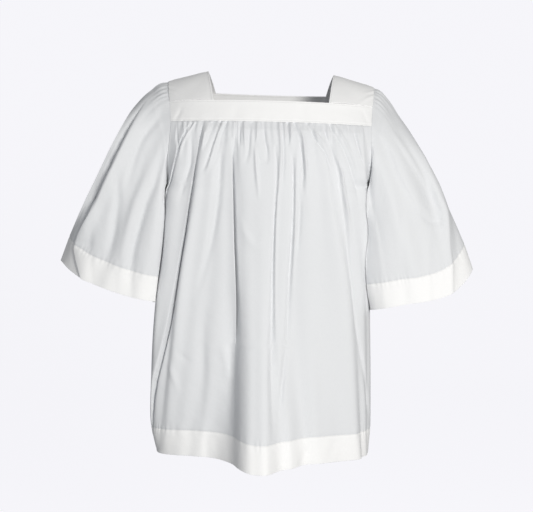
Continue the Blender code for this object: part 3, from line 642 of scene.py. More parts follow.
def gathered_panel(sections, folds, seam, facing, pitches, heights, gathers, rays, fuller, creases, tucks, columns):
    """The outer points of a gathered body panel."""
    in_controls, half_gather = half_gathers(sections, folds, seam, facing, *pitches)
    places, outs, rises, clear = [], [], [], []
    for height in heights:
        line, controls = folds_at(sections, folds, height, facing)
        fall = seam - height
        along, rise = rounded(controls, in_controls).T
        ends = np.clip((np.minimum(along, line.along[-1] - along) - FLAT_EDGE) / FLAT_END, 0.0, 1.0)
        swell = 0.5 + 0.5 * min(1.0, fall / GATHER_SWELL)
        fine = np.minimum(GATHER_RISE, GATHER_STEEP * np.gradient(along) * FINER) * swell * ends
        rise = rise * min(1.0, fall / FOLD_START)
        rise += (gathered(gathers, half_gather, fall) - GATHER_SINK * hill(fall, GATHER_SINK_REACH)) * fine
        rise += gathered(rays, half_gather / 2.0, fall) * RAY_RISE * min(1.0, fall / RAY_START) * ends
        rise += hem_line(height + LENGTH, 0.45, half_gather * 3.1, half_gather * 0.9) * ends
        places.append(read_at(along, line.along, line.points))
        out = read_at(along, line.along, line.normals)
        outs.append(out / np.linalg.norm(out, axis=1, keepdims=True))
        rises.append(rise)
        clear.append(ends * min(1.0, fall / CREASE_START))
    places, outs, clear = np.array(places), np.array(outs), np.array(clear)
    places[..., 1] += facing * creased(places, fuller) * clear
    rises = np.array(rises) + creased(places, creases) * clear
    grid = resampled(*tucked(places + outs * rises[..., None], places, outs, facing, tucks), columns)
    if facing < 0:
        fallen = ((seam - np.array(heights)) / (LENGTH + seam)) ** 2
        grid[..., 2] -= smooth_through(*zip(*HEM_DROPS), grid[..., 0]) * fallen[:, None]
    return leant(grid)


def panel_walls(heights):
    """The thickness of each row of a panel, which is doubled in the hem."""
    return [DOUBLE_WALL if height + LENGTH < HEM else SINGLE_WALL for height in heights]


FRONT_CREASES = (
    (1.8, 1.8, ((-145, -120, 2), (-167, -164, 3.2), (-173, -189, 0))),
    (1.5, 1.5, ((-165, -120, 2), (-164, -138, 2.3), (-167, -152, 0))),
    (1.8, 1.8, ((-179, -119, -2), (-177, -159, -2.6), (-174, -173, 0))),
    (3.0, 3.0, ((-149, -127, -1.3), (-150, -153, -2.6), (-152, -199, -3.4), (-163, -240, -2.6), (-173, -281, 0))),
    (2.2, 2.6, ((-121, -119, 1.3), (-123, -136, 3.6), (-127, -158, 3.9), (-131, -174, 0))),
    (1.5, 1.5, ((-112, -123, -2.6), (-114, -139, -2.6), (-122, -163, -2.6), (-129, -177, 0))),
    (2.2, 2.0, ((-96, -118, -2.6), (-107, -155, -3.1), (-119, -193, -2.9), (-130, -218, 0))),
    (1.8, 1.8, ((-91, -116, 2.6), (-101, -149, 3.9), (-109, -175, 3.9), (-115, -198, 3.1), (-122, -218, 0))),
    (2.0, 2.0, ((-85, -120, -2), (-93, -142, -2.3), (-96, -160, -2.3), (-104, -190, -1.6), (-110, -209, 0))),
    (6.0, 6.0, (
        (-91, -171, 0), (-94, -195, -2.4), (-96, -238, -3), (-109, -325, -3), (-128, -402, -2.2), (-142, -452, 0),
    )),
    (2.2, 2.2, ((-69, -120, 1.3), (-69, -138, 2.6), (-70, -155, 0))),
    (2.4, 2.4, ((-57, -117, -2), (-59, -146, -3.1), (-58, -166, 0))),
    (1.8, 1.8, ((-51, -117, 2), (-50, -144, 2.3), (-49, -166, 0))),
    (3.4, 3.2, ((-37, -117, -2), (-41, -148, -3.4), (-43, -176, -2.6), (-49, -200, 0))),
    (1.8, 1.8, ((-25, -117, 1.8), (-27, -145, 2.1), (-29, -162, 0))),
    (2.6, 2.6, ((-16, -116, -2), (-12, -150, -3.9), (-8, -178, -3.4), (-10, -193, 0))),
    (3.0, 3.0, ((-30, -158, 0), (-29, -181, 3.6), (-28, -203, 3.9), (-25, -239, 2.1), (-23, -263, 0))),
    (2.2, 2.2, ((-25, -182, 0), (-19, -192, -1.8), (-11, -193, -1.8), (-2, -172, 0))),
    (8.0, 6.0, (
        (-60, -285, 0), (-54, -312, 1.0), (-44, -334, 1.6), (-30, -346, 1.4), (-18, -338, 0.8), (-10, -322, 0),
    )),
    (1.9, 2.4, ((8, -168, -1.3), (10, -208, -3.4), (5, -298, -3.6), (2, -374, -2.4), (1, -448, 0))),
    (3.6, 5.0, (
        (4, -310, 0), (2, -374, -2.4), (1, -448, -4.4), (-1, -526, -4.6), (-1, -616, -4.2), (2, -680, -2), (3, -712, 0),
    )),
    (2.6, 3.2, (
        (16, -119, 1.6), (18, -170, 3.4), (16, -208, 3.4), (11, -272, 2.9), (9, -323, 2.6), (7, -448, 1.6),
        (9, -545, 0),
    )),
    (2.0, 2.0, ((22, -149, -1.3), (23, -187, -2.9), (21, -236, 0))),
    (1.6, 1.6, ((25, -115, 2.6), (26, -142, 2.6), (26, -160, 0))),
    (1.6, 1.6, ((30, -115, -3.6), (32, -145, -4.1), (31, -164, 0))),
    (1.6, 1.6, ((37, -115, 2.9), (37, -143, 2.9), (36, -160, 0))),
    (1.7, 1.7, ((44, -115, -2.9), (49, -134, -3.6), (54, -154, 0))),
    (2.0, 2.4, ((51, -115, 1.8), (59, -148, 4.8), (62, -176, 5.5), (64, -202, 5), (65, -231, 1.8), (65, -261, 0))),
    (1.5, 1.5, ((53, -152, 0), (56, -173, -5.5), (58, -197, -6.6), (58, -224, -5.5), (57, -250, 0))),
    (2.0, 2.4, ((39, -171, 0), (40, -209, -4.3), (41, -246, -5.5), (40, -297, -4.6), (37, -348, -2.6), (34, -410, 0))),
    (3.4, 4.6, (
        (40, -270, 0), (37, -348, -3.2), (33, -410, -5), (31, -448, -4.6), (27, -524, -3.6), (20, -590, -4.2),
        (17, -620, -3), (16, -640, 0),
    )),
    (2.4, 3.2, ((48, -160, 0), (46, -215, 3.6), (45, -271, 4.1), (44, -322, 3.6), (40, -399, 1.8), (37, -450, 0))),
    (3.2, 3.2, ((55, -254, 0), (53, -288, -2.8), (51, -330, -2.2), (49, -367, 0))),
    (1.7, 1.9, (
        (67, -116, -2.5), (79, -142, -3.6), (88, -158, -4.1), (96, -167, -4.1), (105, -188, -3.6), (109, -211, 0),
    )),
    (1.8, 1.8, ((72, -114, 2.9), (85, -138, 3.6), (95, -151, 2.9), (103, -166, 0))),
    (5.0, 1.8, (
        (92, -115, -1.2), (105, -144, -2.2), (115, -175, -2.6), (124, -201, -3), (129, -234, -3.2), (133, -270, -3.2),
        (139, -321, -3), (145, -385, -3), (152, -446, -3), (158, -496, -3), (167, -547, -3), (177, -603, -2.6),
        (184, -646, -2.2), (190, -692, 0),
    )),
    (2.2, 2.4, (
        (124, -185, 0), (130, -211, 5.5), (132, -234, 5.9), (136, -257, 5.5), (140, -280, 4.1), (145, -320, 1.8),
        (150, -366, 0),
    )),
    (2.4, 2.4, (
        (108, -115, -1.8), (121, -141, -3.2), (135, -167, -3.2), (146, -197, -3.2), (156, -233, -2.5), (163, -275, 0),
    )),
    (2.2, 2.2, ((118, -115, 1.8), (127, -130, 2.9), (141, -154, 2.9), (152, -180, 2.5), (161, -214, 0))),
    (2.0, 2.0, ((153, -123, 0), (159, -143, -3.2), (166, -174, -3.6), (173, -199, 0))),
    (7.0, 5.0, ((7, -451, 0), (10, -488, 1.6), (13, -545, 1.8), (14, -586, 1.4), (11, -631, 0))),
    (10.0, 8.0, ((-123, -452, 0), (-128, -508, -1.5), (-128, -602, -3), (-132, -649, -2), (-136, -696, 0))),
    (4.0, 5.0, ((-177, -550, 0), (-170, -559, -1.4), (-159, -567, -1.4), (-147, -572, 0))),
    (5.0, 5.0, ((-192, -569, 0), (-187, -587, 1.6), (-179, -610, 1.6), (-175, -636, 0))),
    (6.0, 6.0, ((-93, -523, 0), (-89, -549, 2), (-85, -575, 2), (-83, -609, 0))),
    (9.0, 9.0, ((22, -631, 0), (23, -658, -1.6), (24, -695, -2), (26, -742, -2), (28, -755, -2))),
    (12.0, 12.0, ((88, -450, 0), (90, -525, -1.2), (92, -638, -1.6), (88, -755, -1.2))),
    (16.0, 7.0, (
        (-66, -430, 0), (-67, -475, -5), (-68, -520, -9), (-69, -570, -10), (-70, -640, -10.5), (-70, -700, -10.5),
        (-70, -770, -10),
    )),
    (7.0, 7.0, ((72, -694, 0), (66, -716, -1.4), (56, -742, -1.8), (50, -760, -1.2))),
    (8.0, 8.0, ((118, -692, 0), (112, -718, -1.2), (100, -752, -1.4))),
    (6.0, 6.0, ((-118, -694, 0), (-122, -722, -1.4), (-120, -756, -1.2))),
)
FRONT_FULLER = (  # where the front stands further forward beside its edges, as creases that are level front to back
    (20.0, 30.0, (
        (-172, -90, 0), (-180, -140, 3), (-188, -190, 8), (-196, -240, 16), (-204, -300, 21), (-212, -400, 24),
        (-220, -470, 24), (-227, -540, 20), (-233, -620, 13), (-235, -720, 6), (-234, -760, 4),
    )),
    (8.0, 14.0, (
        (-208, -290, 0), (-216, -345, 10), (-223, -400, 17), (-226, -450, 20), (-229, -500, 20), (-233, -560, 17),
        (-235, -620, 12), (-236, -680, 7), (-235, -740, 3),
    )),
    (40.0, 20.0, (
        (168, -100, 0), (174, -150, 3), (178, -200, 6), (182, -245, 9), (184, -320, 6), (184, -420, 4), (184, -500, 4),
        (187, -620, 3), (188, -720, 2), (184, -760, 2),
    )),
)
FRONT_TUCKS = (
    (-1, (
        (-151, -118, 0, 3), (-162, -135, 3, 3), (-172, -156, 6, 3.2), (-178, -177, 6.5, 3.4), (-185, -205, 6.5, 4),
        (-190, -228, 6, 4), (-195, -254, 4, 4), (-199, -277, 0, 4),
    )),
    (-1, (
        (-130, -118, 0, 3), (-135, -148, 6, 3.2), (-139, -177, 9, 3.6), (-144, -208, 11, 4), (-148, -238, 12, 4.4),
        (-155, -280, 12, 4.8), (-163, -331, 13, 5), (-174, -389, 14, 5), (-182, -434, 16, 5), (-194, -495, 18, 5),
        (-209, -555, 19, 5), (-224, -607, 18, 6), (-229, -642, 12, 7), (-231, -676, 5, 8), (-231, -712, 1, 9),
        (-231, -748, 0, 9),
    )),
    (-1, (
        (-73, -146, 0, 3), (-73, -170, 3, 3), (-73, -190, 8, 3), (-73, -215, 12, 3.2), (-72, -273, 17, 3.6),
        (-70, -350, 18, 3.8), (-68, -414, 18, 4.2), (-67, -450, 16, 4.6), (-67, -490, 12, 5.5), (-67, -515, 6, 7),
        (-67, -535, 0, 8),
    )),
)
FRONT_HEIGHTS = graded(
    (YOKE_FRONT_SEAM - SEAM_GAP, 1.2), (-135, 2.2), (-180, 3.6), (-300, 5.4), (-680, 5.6), (-695, 1.5), (-702, 1.5),
    (-712, 4.0), (-744, 4.0), (-749, 0.6), (-LENGTH, 0.6)
)
HEM_STITCHES = (HEM - 1.0,)
body_cloth = cloth_finish("body_cloth", HEM_STITCHES, SINGLE_WHITE, HEM)
front_points = gathered_panel(
    FRONT_SECTIONS, FRONT_FOLDS, YOKE_FRONT_SEAM, -1, (FRONT_PITCH, FRONT_HEM_PITCH), FRONT_HEIGHTS,
    drawn_up(3, 46, *GATHER_LENGTHS), drawn_up(5, 23, *RAY_LENGTHS),
    FRONT_FULLER, FRONT_CREASES, FRONT_TUCKS, FRONT_COLUMNS,
)
front_flat = cut_flat(front_points, FRONT_WIDTH, FRONT_HEIGHTS + LENGTH)
front = sheet_of_cloth("front", front_points, front_flat, panel_walls(FRONT_HEIGHTS), 1, body_cloth)
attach(front, "root")
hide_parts("body_front")

# ---- Gathered back -------------------------------------------------------------------------------------------------
# The back is cut and gathered as the front is, and hangs in eight even folds. The two are sewn together down both
# sides from the underarm to the hem.

BACK_FOLDS = (
    Fold(-158, -166, -186, -196, 2, 7, 12, 16, 0.50, 0.50, 0.0),
    Fold(-114, -118, -136, -146, 2, 8, 15, 24, 0.62, 0.62, 0.0),
    Fold(-70, -72, -84, -90, 2, 7, 11, 17, 0.50, 0.50, 0.1),
    Fold(-24, -26, -32, -38, 2, 9, 18, 28, 0.40, 0.40, 0.0),
    Fold(22, 22, 22, 20, 2, 7, 12, 18, 0.56, 0.56, 0.1),
    Fold(66, 66, 68, 74, 2, 8, 16, 25, 0.45, 0.45, 0.0),
    Fold(108, 112, 116, 124, 2, 7, 12, 18, 0.55, 0.55, 0.0),
    Fold(156, 162, 166, 172, 2, 6, 10, 14, 0.50, 0.50, 0.0),
)
BACK_CREASES = (
    (7.0, 3.0, ((-140, -92, -1), (-146, -200, -5), (-160, -320, -5), (-168, -470, -4), (-172, -620, 0))),
    (4.0, 7.0, ((-92, -92, -1), (-96, -230, -4), (-106, -380, -4), (-116, -560, 0))),
    (7.0, 3.0, ((-46, -92, -1), (-48, -220, -5), (-56, -360, -5), (-62, -540, -3), (-64, -660, 0))),
    (5.0, 5.0, ((-22, -92, -1), (-26, -150, -3), (-28, -190, 0))),
    (8.0, 5.0, ((0, -92, -1), (2, -240, -4), (-4, -400, -3), (-8, -560, 0))),
    (5.0, 5.0, ((24, -92, -1), (30, -160, -3), (34, -210, 0))),
    (3.0, 8.0, ((44, -92, -1), (44, -230, -5), (46, -380, -5), (48, -560, -3), (50, -660, 0))),
    (7.0, 4.0, ((88, -92, -1), (90, -240, -4), (94, -400, -4), (100, -560, 0))),
    (3.0, 7.0, ((134, -92, -1), (140, -210, -5), (142, -340, -5), (150, -500, -4), (154, -640, 0))),
    (4.0, 4.0, ((-116, -92, -1), (-122, -150, -3), (-126, -200, 0))),
    (4.0, 4.0, ((112, -92, -1), (118, -160, -3), (124, -215, 0))),
)
BACK_TUCKS = (
    (-1, (
        (-136, -110, 0, 3), (-139, -160, 6, 4), (-146, -240, 9, 5), (-154, -360, 9, 5.5), (-162, -470, 7, 8),
        (-166, -560, 3, 11), (-168, -620, 0, 12),
    )),
    (1, (
        (126, -110, 0, 3), (128, -170, 6, 4), (132, -260, 9, 5), (138, -380, 8, 6), (144, -480, 5, 9),
        (148, -580, 0, 12),
    )),
)
BACK_PITCH, BACK_HEM_PITCH = 7.4, 24.0
BACK_WIDTH, BACK_COLUMNS = 570.0, 250
BACK_HEIGHTS = graded(
    (YOKE_BACK_SEAM - SEAM_GAP, 1.4), (-115, 2.6), (-170, 4.2), (-300, 6.0), (-680, 6.2), (-695, 1.6), (-702, 1.6),
    (-712, 4.4), (-744, 4.4), (-749, 0.6), (-LENGTH, 0.6)
)
back_points = gathered_panel(
    BACK_SECTIONS, BACK_FOLDS, YOKE_BACK_SEAM, 1, (BACK_PITCH, BACK_HEM_PITCH), BACK_HEIGHTS,
    drawn_up(7, 36, *GATHER_LENGTHS), drawn_up(9, 18, *RAY_LENGTHS),
    (), BACK_CREASES, BACK_TUCKS, BACK_COLUMNS,
)
back_flat = cut_flat(back_points, BACK_WIDTH, BACK_HEIGHTS + LENGTH)
back = sheet_of_cloth("back", back_points, back_flat, panel_walls(BACK_HEIGHTS), -1, body_cloth)
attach(back, "root")
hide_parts("body_back")

# ---- Sleeves -------------------------------------------------------------------------------------------------------
# Each sleeve is one wide piece of the thin cotton, set into the armhole with small gathers over the shoulder and
# turned up in a deep hem. It hangs open like a bell, beside the body and clear of it.

SLEEVE_LENGTH, SLEEVE_WIDTH = 385.0, 720.0  # down the shoulder side, and round it
MouthPoint = namedtuple("MouthPoint", "turn out fore up")
MOUTHS = {
    "right_sleeve": (
        MouthPoint(0.000, 420, 0, -376),
        MouthPoint(0.055, 407, 34, -383),
        MouthPoint(0.104, 387, 60, -397),
        MouthPoint(0.155, 364, 87, -411),
        MouthPoint(0.227, 319, 102, -429),
        MouthPoint(0.291, 274, 109, -444),
        MouthPoint(0.338, 240, 107, -452),
        MouthPoint(0.369, 222, 97, -455),
        MouthPoint(0.396, 216, 80, -456),
        MouthPoint(0.446, 221, 40, -458),
        MouthPoint(0.500, 226, 0, -459),
    ),
    "left_sleeve": (
        MouthPoint(0.000, 400, 0, -392),
        MouthPoint(0.050, 394, 36, -395),
        MouthPoint(0.100, 370, 68, -422),
        MouthPoint(0.150, 341, 90, -442),
        MouthPoint(0.210, 303, 108, -453),
        MouthPoint(0.290, 255, 114, -460),
        MouthPoint(0.350, 220, 107, -467),
        MouthPoint(0.385, 207, 95, -470),
        MouthPoint(0.415, 202, 78, -471),
        MouthPoint(0.455, 199, 38, -473),
        MouthPoint(0.500, 203, 0, -474),
    ),
}
Push = namedtuple("Push", "turn turn_reach share share_reach fore out")
PUSHES = {  # where the sleeve lies flatter in front than between its armhole and its mouth, or further in
    "right_sleeve": (Push(0.130, 0.055, 0.40, 0.38, 22, 0), Push(0.37, 0.055, 0.34, 0.34, 12, -3)),
    "left_sleeve": (
        Push(0.13, 0.055, 0.30, 0.30, 12, 0), Push(0.405, 0.045, 0.62, 0.36, 4, -22),
        Push(0.375, 0.05, 0.16, 0.15, 6, -16),
    ),
}
PRESSED = {  # where the front of a sleeve stands forward to a pressed edge, as creases that are level front to back
    "right_sleeve": (
        (18.0, 21.0, (
            (-232, -42, 0), (-241, -52, 10), (-258, -86, 26), (-276, -124, 38), (-297, -168, 43), (-321, -222, 44),
            (-341, -262, 41), (-362, -312, 34), (-375, -338, 26), (-376, -356, 18), (-373, -380, 9), (-365, -401, 3),
            (-359, -422, 0),
        )),
    ),
    "left_sleeve": (
        (20.0, 9.0, (
            (240, -84, 0), (256, -112, 10), (276, -150, 22), (303, -195, 27), (326, -240, 33), (337, -280, 26),
            (343, -330, 14), (346, -383, 5), (346, -437, 0),
        )),
    ),
}
STRIPS = {  # the strip outside a pressed edge, which lies flat: the edge's height and place across, y there, how flat
    "right_sleeve": (
        (-50, -232, -44, 0), (-88, -252, -66, 0.8), (-128, -270, -77, 1), (-175, -291, -81, 1), (-226, -314, -77, 1),
        (-264, -333, -69, 1), (-300, -353, -60, 0.8), (-330, -369, -48, 0.3), (-355, -377, -40, 0),
    ),
}
STRIP_TURN, STRIP_NARROWS = 2.5, 0.00048  # it turns flat this near its edge, and is drawn in as it comes forward
BOW_SHARES = (0.0, 0.03, 0.075, 0.2, 0.3, 0.45, 0.6, 0.77, 0.9, 1.0)
BOWS = {  # how far the sleeve's outer edge bows out of a straight line
    "right_sleeve": (0, 12, 20, 30, 30, 27, 22, 16, 8, 0),
    "left_sleeve": (0, 8, 13, 18, 21, 22, 17, 13, 7, 0),
}
SleeveFold = namedtuple("SleeveFold", "turn_top turn_mid turn_mouth rise_top rise_mid rise_mouth tuck floor")
SLEEVE_FOLDS = {
    "right_sleeve": (
        SleeveFold(0.060, 0.075, 0.080, 1, 3, 3, 0.50, 0.0),
        SleeveFold(0.160, 0.160, 0.165, 1, 5, 4, 0.50, 0.3),
        SleeveFold(0.230, 0.225, 0.235, 2, 6, 8, 0.60, 0.1),
        SleeveFold(0.330, 0.330, 0.325, 3, 8, 9, 0.55, 0.0),
        SleeveFold(0.440, 0.435, 0.430, 1, 3, 4, 0.50, 0.0),
        SleeveFold(0.570, 0.570, 0.570, 1, 3, 5, 0.50, 0.0),
        SleeveFold(0.680, 0.690, 0.690, 2, 7, 9, 0.50, 0.0),
        SleeveFold(0.800, 0.800, 0.800, 2, 7, 8, 0.45, 0.0),
        SleeveFold(0.925, 0.930, 0.925, 1, 6, 6, 0.50, 0.0),
    ),
    "left_sleeve": (
        SleeveFold(0.045, 0.050, 0.075, 1, 3, 5, 0.60, 0.0),
        SleeveFold(0.150, 0.150, 0.150, 2, 8, 5, 0.50, 0.1),
        SleeveFold(0.235, 0.240, 0.245, 3, 8, 4, 0.45, 0.2),
        SleeveFold(0.350, 0.345, 0.345, 2, 5, 5, 0.30, 0.0),
        SleeveFold(0.440, 0.430, 0.430, 2, 3, 3, 0.60, 0.0),
        SleeveFold(0.570, 0.570, 0.570, 1, 3, 5, 0.50, 0.0),
        SleeveFold(0.690, 0.680, 0.680, 2, 7, 9, 0.50, 0.0),
        SleeveFold(0.800, 0.800, 0.810, 2, 6, 8, 0.50, 0.0),
        SleeveFold(0.920, 0.925, 0.930, 1, 5, 6, 0.50, 0.0),
    ),
}
CAP_TURN, CAP_GATHERS, CAP_RISE = 0.115, 13, 2.6  # how far round from the shoulder, how many, and how proud
EVEN_FROM, EVEN_OVER = 0.15, 0.75  # the shares of the sleeve's length above the hem where its rings turn level with it
BELLY = 0.08  # front and back round out by this share between the armhole and the mouth
PUSHED_BEHIND = 0.6  # the back of a sleeve is pushed this much of what its front is
CAP_LENGTHS = (14, 52)
CAP_START, PRESSED_START, CREASED_START, FOLDED_START = 0.02, 0.03, 0.05, 0.08  # shares of the sleeve's length
RIDGE_ALONG = 0.05  # where the strap's outer edge is highest
BODY_CLEARANCE, CLEAR_FROM = 0.6, 0.06  # and the share of the sleeve's length by which it has it


def armhole(side, turns):
    """Points of the seam round the armhole, by turn: 0 on the shoulder, 0.25 in front and 0.5 under the arm."""
    found = []
    for sections, top, end, facing in (
        (FRONT_SECTIONS, YOKE_FRONT_TOP, -1.0, -1),
        (BACK_SECTIONS, back_top(SHOULDER_HALF), 1.0, 1),
    ):
        over = strap_points(1.0, np.linspace(RIDGE_ALONG, end, 40), side)
        z = np.linspace(top, UNDERARM, 90)[1:]
        s = section_at(sections, z)
        down = np.stack([side * s.arm_x + s.shift, facing * s.arm_y, z], axis=1)
        edge = leant(np.vstack([over, down]))
        along = run_along(edge)
        found.append((along / along[-1] / 2, edge))
    (front_turns, front_edge), (back_turns, back_edge) = found
    all_turns = np.concatenate([front_turns, 1 - back_turns[-2::-1]])
    edge = np.vstack([front_edge, back_edge[-2::-1]])
    points = read_at(turns, all_turns, edge)
    points[:, 0] += side * SEAM_GAP
    return points


def mouth(name, side, turns):
    """Points of the sleeve's lower edge, by turn."""
    rows = MOUTHS[name]
    before, after = rows[1], rows[-2]
    rows = [
        MouthPoint(-before.turn, before.out, -before.fore, before.up),
        *rows,
        MouthPoint(1 - after.turn, after.out, -after.fore, after.up),
    ]
    at, outs, fores, ups = zip(*rows)
    half_turn = np.minimum(turns, 1 - turns)
    fore = smooth_through(at, fores, half_turn) * np.where(turns <= 0.5, 1, -1)
    return np.stack([side * smooth_through(at, outs, half_turn), -fore, smooth_through(at, ups, half_turn)], axis=1)


BODY_STEP = 8.0
BODY_HEIGHTS, BODY_BEARINGS = np.arange(-150.0, -500.0, -BODY_STEP), np.radians(np.arange(-96.0, 97.0, 4.0))
BODY_CORE = 110.0  # the sleeve is kept out of the body as seen from a line this far out
NEAR_HEIGHT, NEAR_BEARING = 6.0, math.radians(3.0)
body_points = np.concatenate([front_points.reshape(-1, 3), back_points.reshape(-1, 3)])


def body_reach(side):
    """How far the body comes from the line inside one of its sides, at each height and bearing."""
    near_side = body_points[body_points[:, 0] * side > BODY_CORE]
    reach = np.zeros((len(BODY_HEIGHTS), len(BODY_BEARINGS)))
    for i, height in enumerate(BODY_HEIGHTS):
        level = near_side[np.abs(near_side[:, 2] - height) < NEAR_HEIGHT]
        out = np.abs(level[:, 0]) - BODY_CORE
        bearing, far = np.arctan2(level[:, 1], out), np.hypot(out, level[:, 1])
        near = np.abs(bearing[None, :] - BODY_BEARINGS[:, None]) < NEAR_BEARING
        reach[i] = np.where(near, far, 0.0).max(axis=1)
    return reach


def clear_of_body(points, reach, side, clearance):
    """Moves a sleeve's points out until they clear the side of the body."""
    out = points[:, 0] * side - BODY_CORE
    bearing, far = np.arctan2(points[:, 1], out), np.hypot(out, points[:, 1])
    rows = np.stack([np.interp(bearing, BODY_BEARINGS, row) for row in reach])
    at = np.clip((BODY_HEIGHTS[0] - points[:, 2]) / BODY_STEP, 0, len(BODY_HEIGHTS) - 1.001)
    i, t = at.astype(int), at % 1.0
    k = np.arange(len(points))
    needed = rows[i, k] * (1 - t) + rows[i + 1, k] * t + clearance
    more = np.where(points[:, 2] < BODY_HEIGHTS[0], np.maximum(1.0, needed / far), 1.0)
    points[:, 0] = side * (BODY_CORE + out * more)
    points[:, 1] *= more


def sleeve_folds(folds, share, turns):
    """How far the folds lift the sleeve round it, at one share of its length."""
    columns = list(zip(*folds))
    crests = [smooth_through((0.0, 0.5, 1.0), at, share) for at in zip(*columns[0:3])]
    rises = [smooth_through((0.0, 0.5, 1.0), at, share) for at in zip(*columns[3:6])]
    controls = fold_line(crests, rises, columns[6], columns[7], 0.0, 1.0)
    curve = rounded(controls, np.linspace(0, len(controls) - 1, 400))
    return np.interp(turns, curve[:, 0], curve[:, 1])


def sleeve_base(name, side, shares, turns):
    """A sleeve's points without its folds, in rings from the armhole down."""
    top, low = armhole(side, turns), mouth(name, side, turns)
    along = low[0] - top[0]
    across = np.array([-along[2] * side, 0.0, abs(along[0])]) / math.hypot(along[0], along[2])
    over = np.maximum(0.0, np.cos(2 * math.pi * turns)) ** 1.2
    fore = np.abs(np.sin(2 * math.pi * turns))
    longer = SLEEVE_LENGTH / np.linalg.norm(low - top, axis=1)
    half_turn = np.minimum(turns, 1 - turns)
    rings = []
    for share in shares:
        left = 1 - share  # the hem is equally deep all round, though the sleeve is shorter under the arm
        even = np.clip((left - EVEN_FROM) / EVEN_OVER, 0.0, 1.0)
        even = even * even * (3 - 2 * even)
        here = 1 - left * (longer * (1 - even) + even)
        ring = top * (1 - here[:, None]) + low * here[:, None]
        ring += across * (smooth_through(BOW_SHARES, BOWS[name], here) * over)[:, None]
        ring[:, 1] *= 1 + BELLY * fore * np.sin(math.pi * np.minimum(1.0, here * 1.15))
        for push in PUSHES[name]:
            amount = hill(half_turn - push.turn, push.turn_reach) * hill(here - push.share, push.share_reach)
            amount *= np.clip(here / FOLDED_START, 0.0, 1.0)
            ring[:, 1] += amount * push.fore * np.where(turns <= 0.5, -1, PUSHED_BEHIND)
            ring[:, 0] += amount * push.out * side
        rings.append(ring)
    return np.array(rings)


def sleeve_points(name, side, shares, turns, columns):
    """The outer points of a sleeve."""
    base = sleeve_base(name, side, shares, turns)
    in_front = np.clip(np.sin(2 * math.pi * turns) * 8, 0, 1)
    base[..., 1] -= creased(base, PRESSED[name]) * in_front * np.clip(shares / PRESSED_START, 0, 1)[:, None]
    if name in STRIPS:
        heights, *columns_there = zip(*STRIPS[name])
        edge, front, amount = (smooth_through(heights, values, base[..., 2]) for values in columns_there)
        forward = (base[..., 1] - front) * np.clip((base[..., 0] - edge) * side / STRIP_TURN, 0, 1) * in_front * amount
        base[..., 1] -= forward
        base[..., 0] *= 1 - STRIP_NARROWS * forward
    normals = outward(base, -side, closed_round=True)
    rings = base.copy()
    cap = CAP_RISE * np.clip((CAP_TURN - np.minimum(turns, 1 - turns)) / 0.02, 0, 1)
    cap_places = CAP_GATHERS * (1 + (turns - np.round(turns)) / CAP_TURN)
    cap_gathers = drawn_up(13 + side, CAP_GATHERS, *CAP_LENGTHS)
    lift = creased(base, SLEEVE_CREASES[name]) * in_front
    for i, share in enumerate(shares):
        rise = sleeve_folds(SLEEVE_FOLDS[name], share, turns) * min(1.0, share / FOLDED_START)
        rise += cap * gathered(cap_gathers, cap_places, share * SLEEVE_LENGTH) * min(1.0, share / CAP_START)
        rise += lift[i] * min(1.0, share / CREASED_START)
        rise += hem_line((1 - share) * SLEEVE_LENGTH, 0.5, turns * 400, turns * 90)
        rings[i] += normals[i] * rise[:, None]
    rings, close = tucked(rings, base, normals, -1, SLEEVE_TUCKS.get(name, ()))
    reach = body_reach(side)
    for ring, share in zip(rings, shares):
        if share > 0:
            clear_of_body(ring, reach, side, SEAM_GAP + (BODY_CLEARANCE - SEAM_GAP) * min(1.0, share / CLEAR_FROM))
    rings = resampled(rings, close, columns)
    rings[:, -1] = rings[:, 0]
    return rings


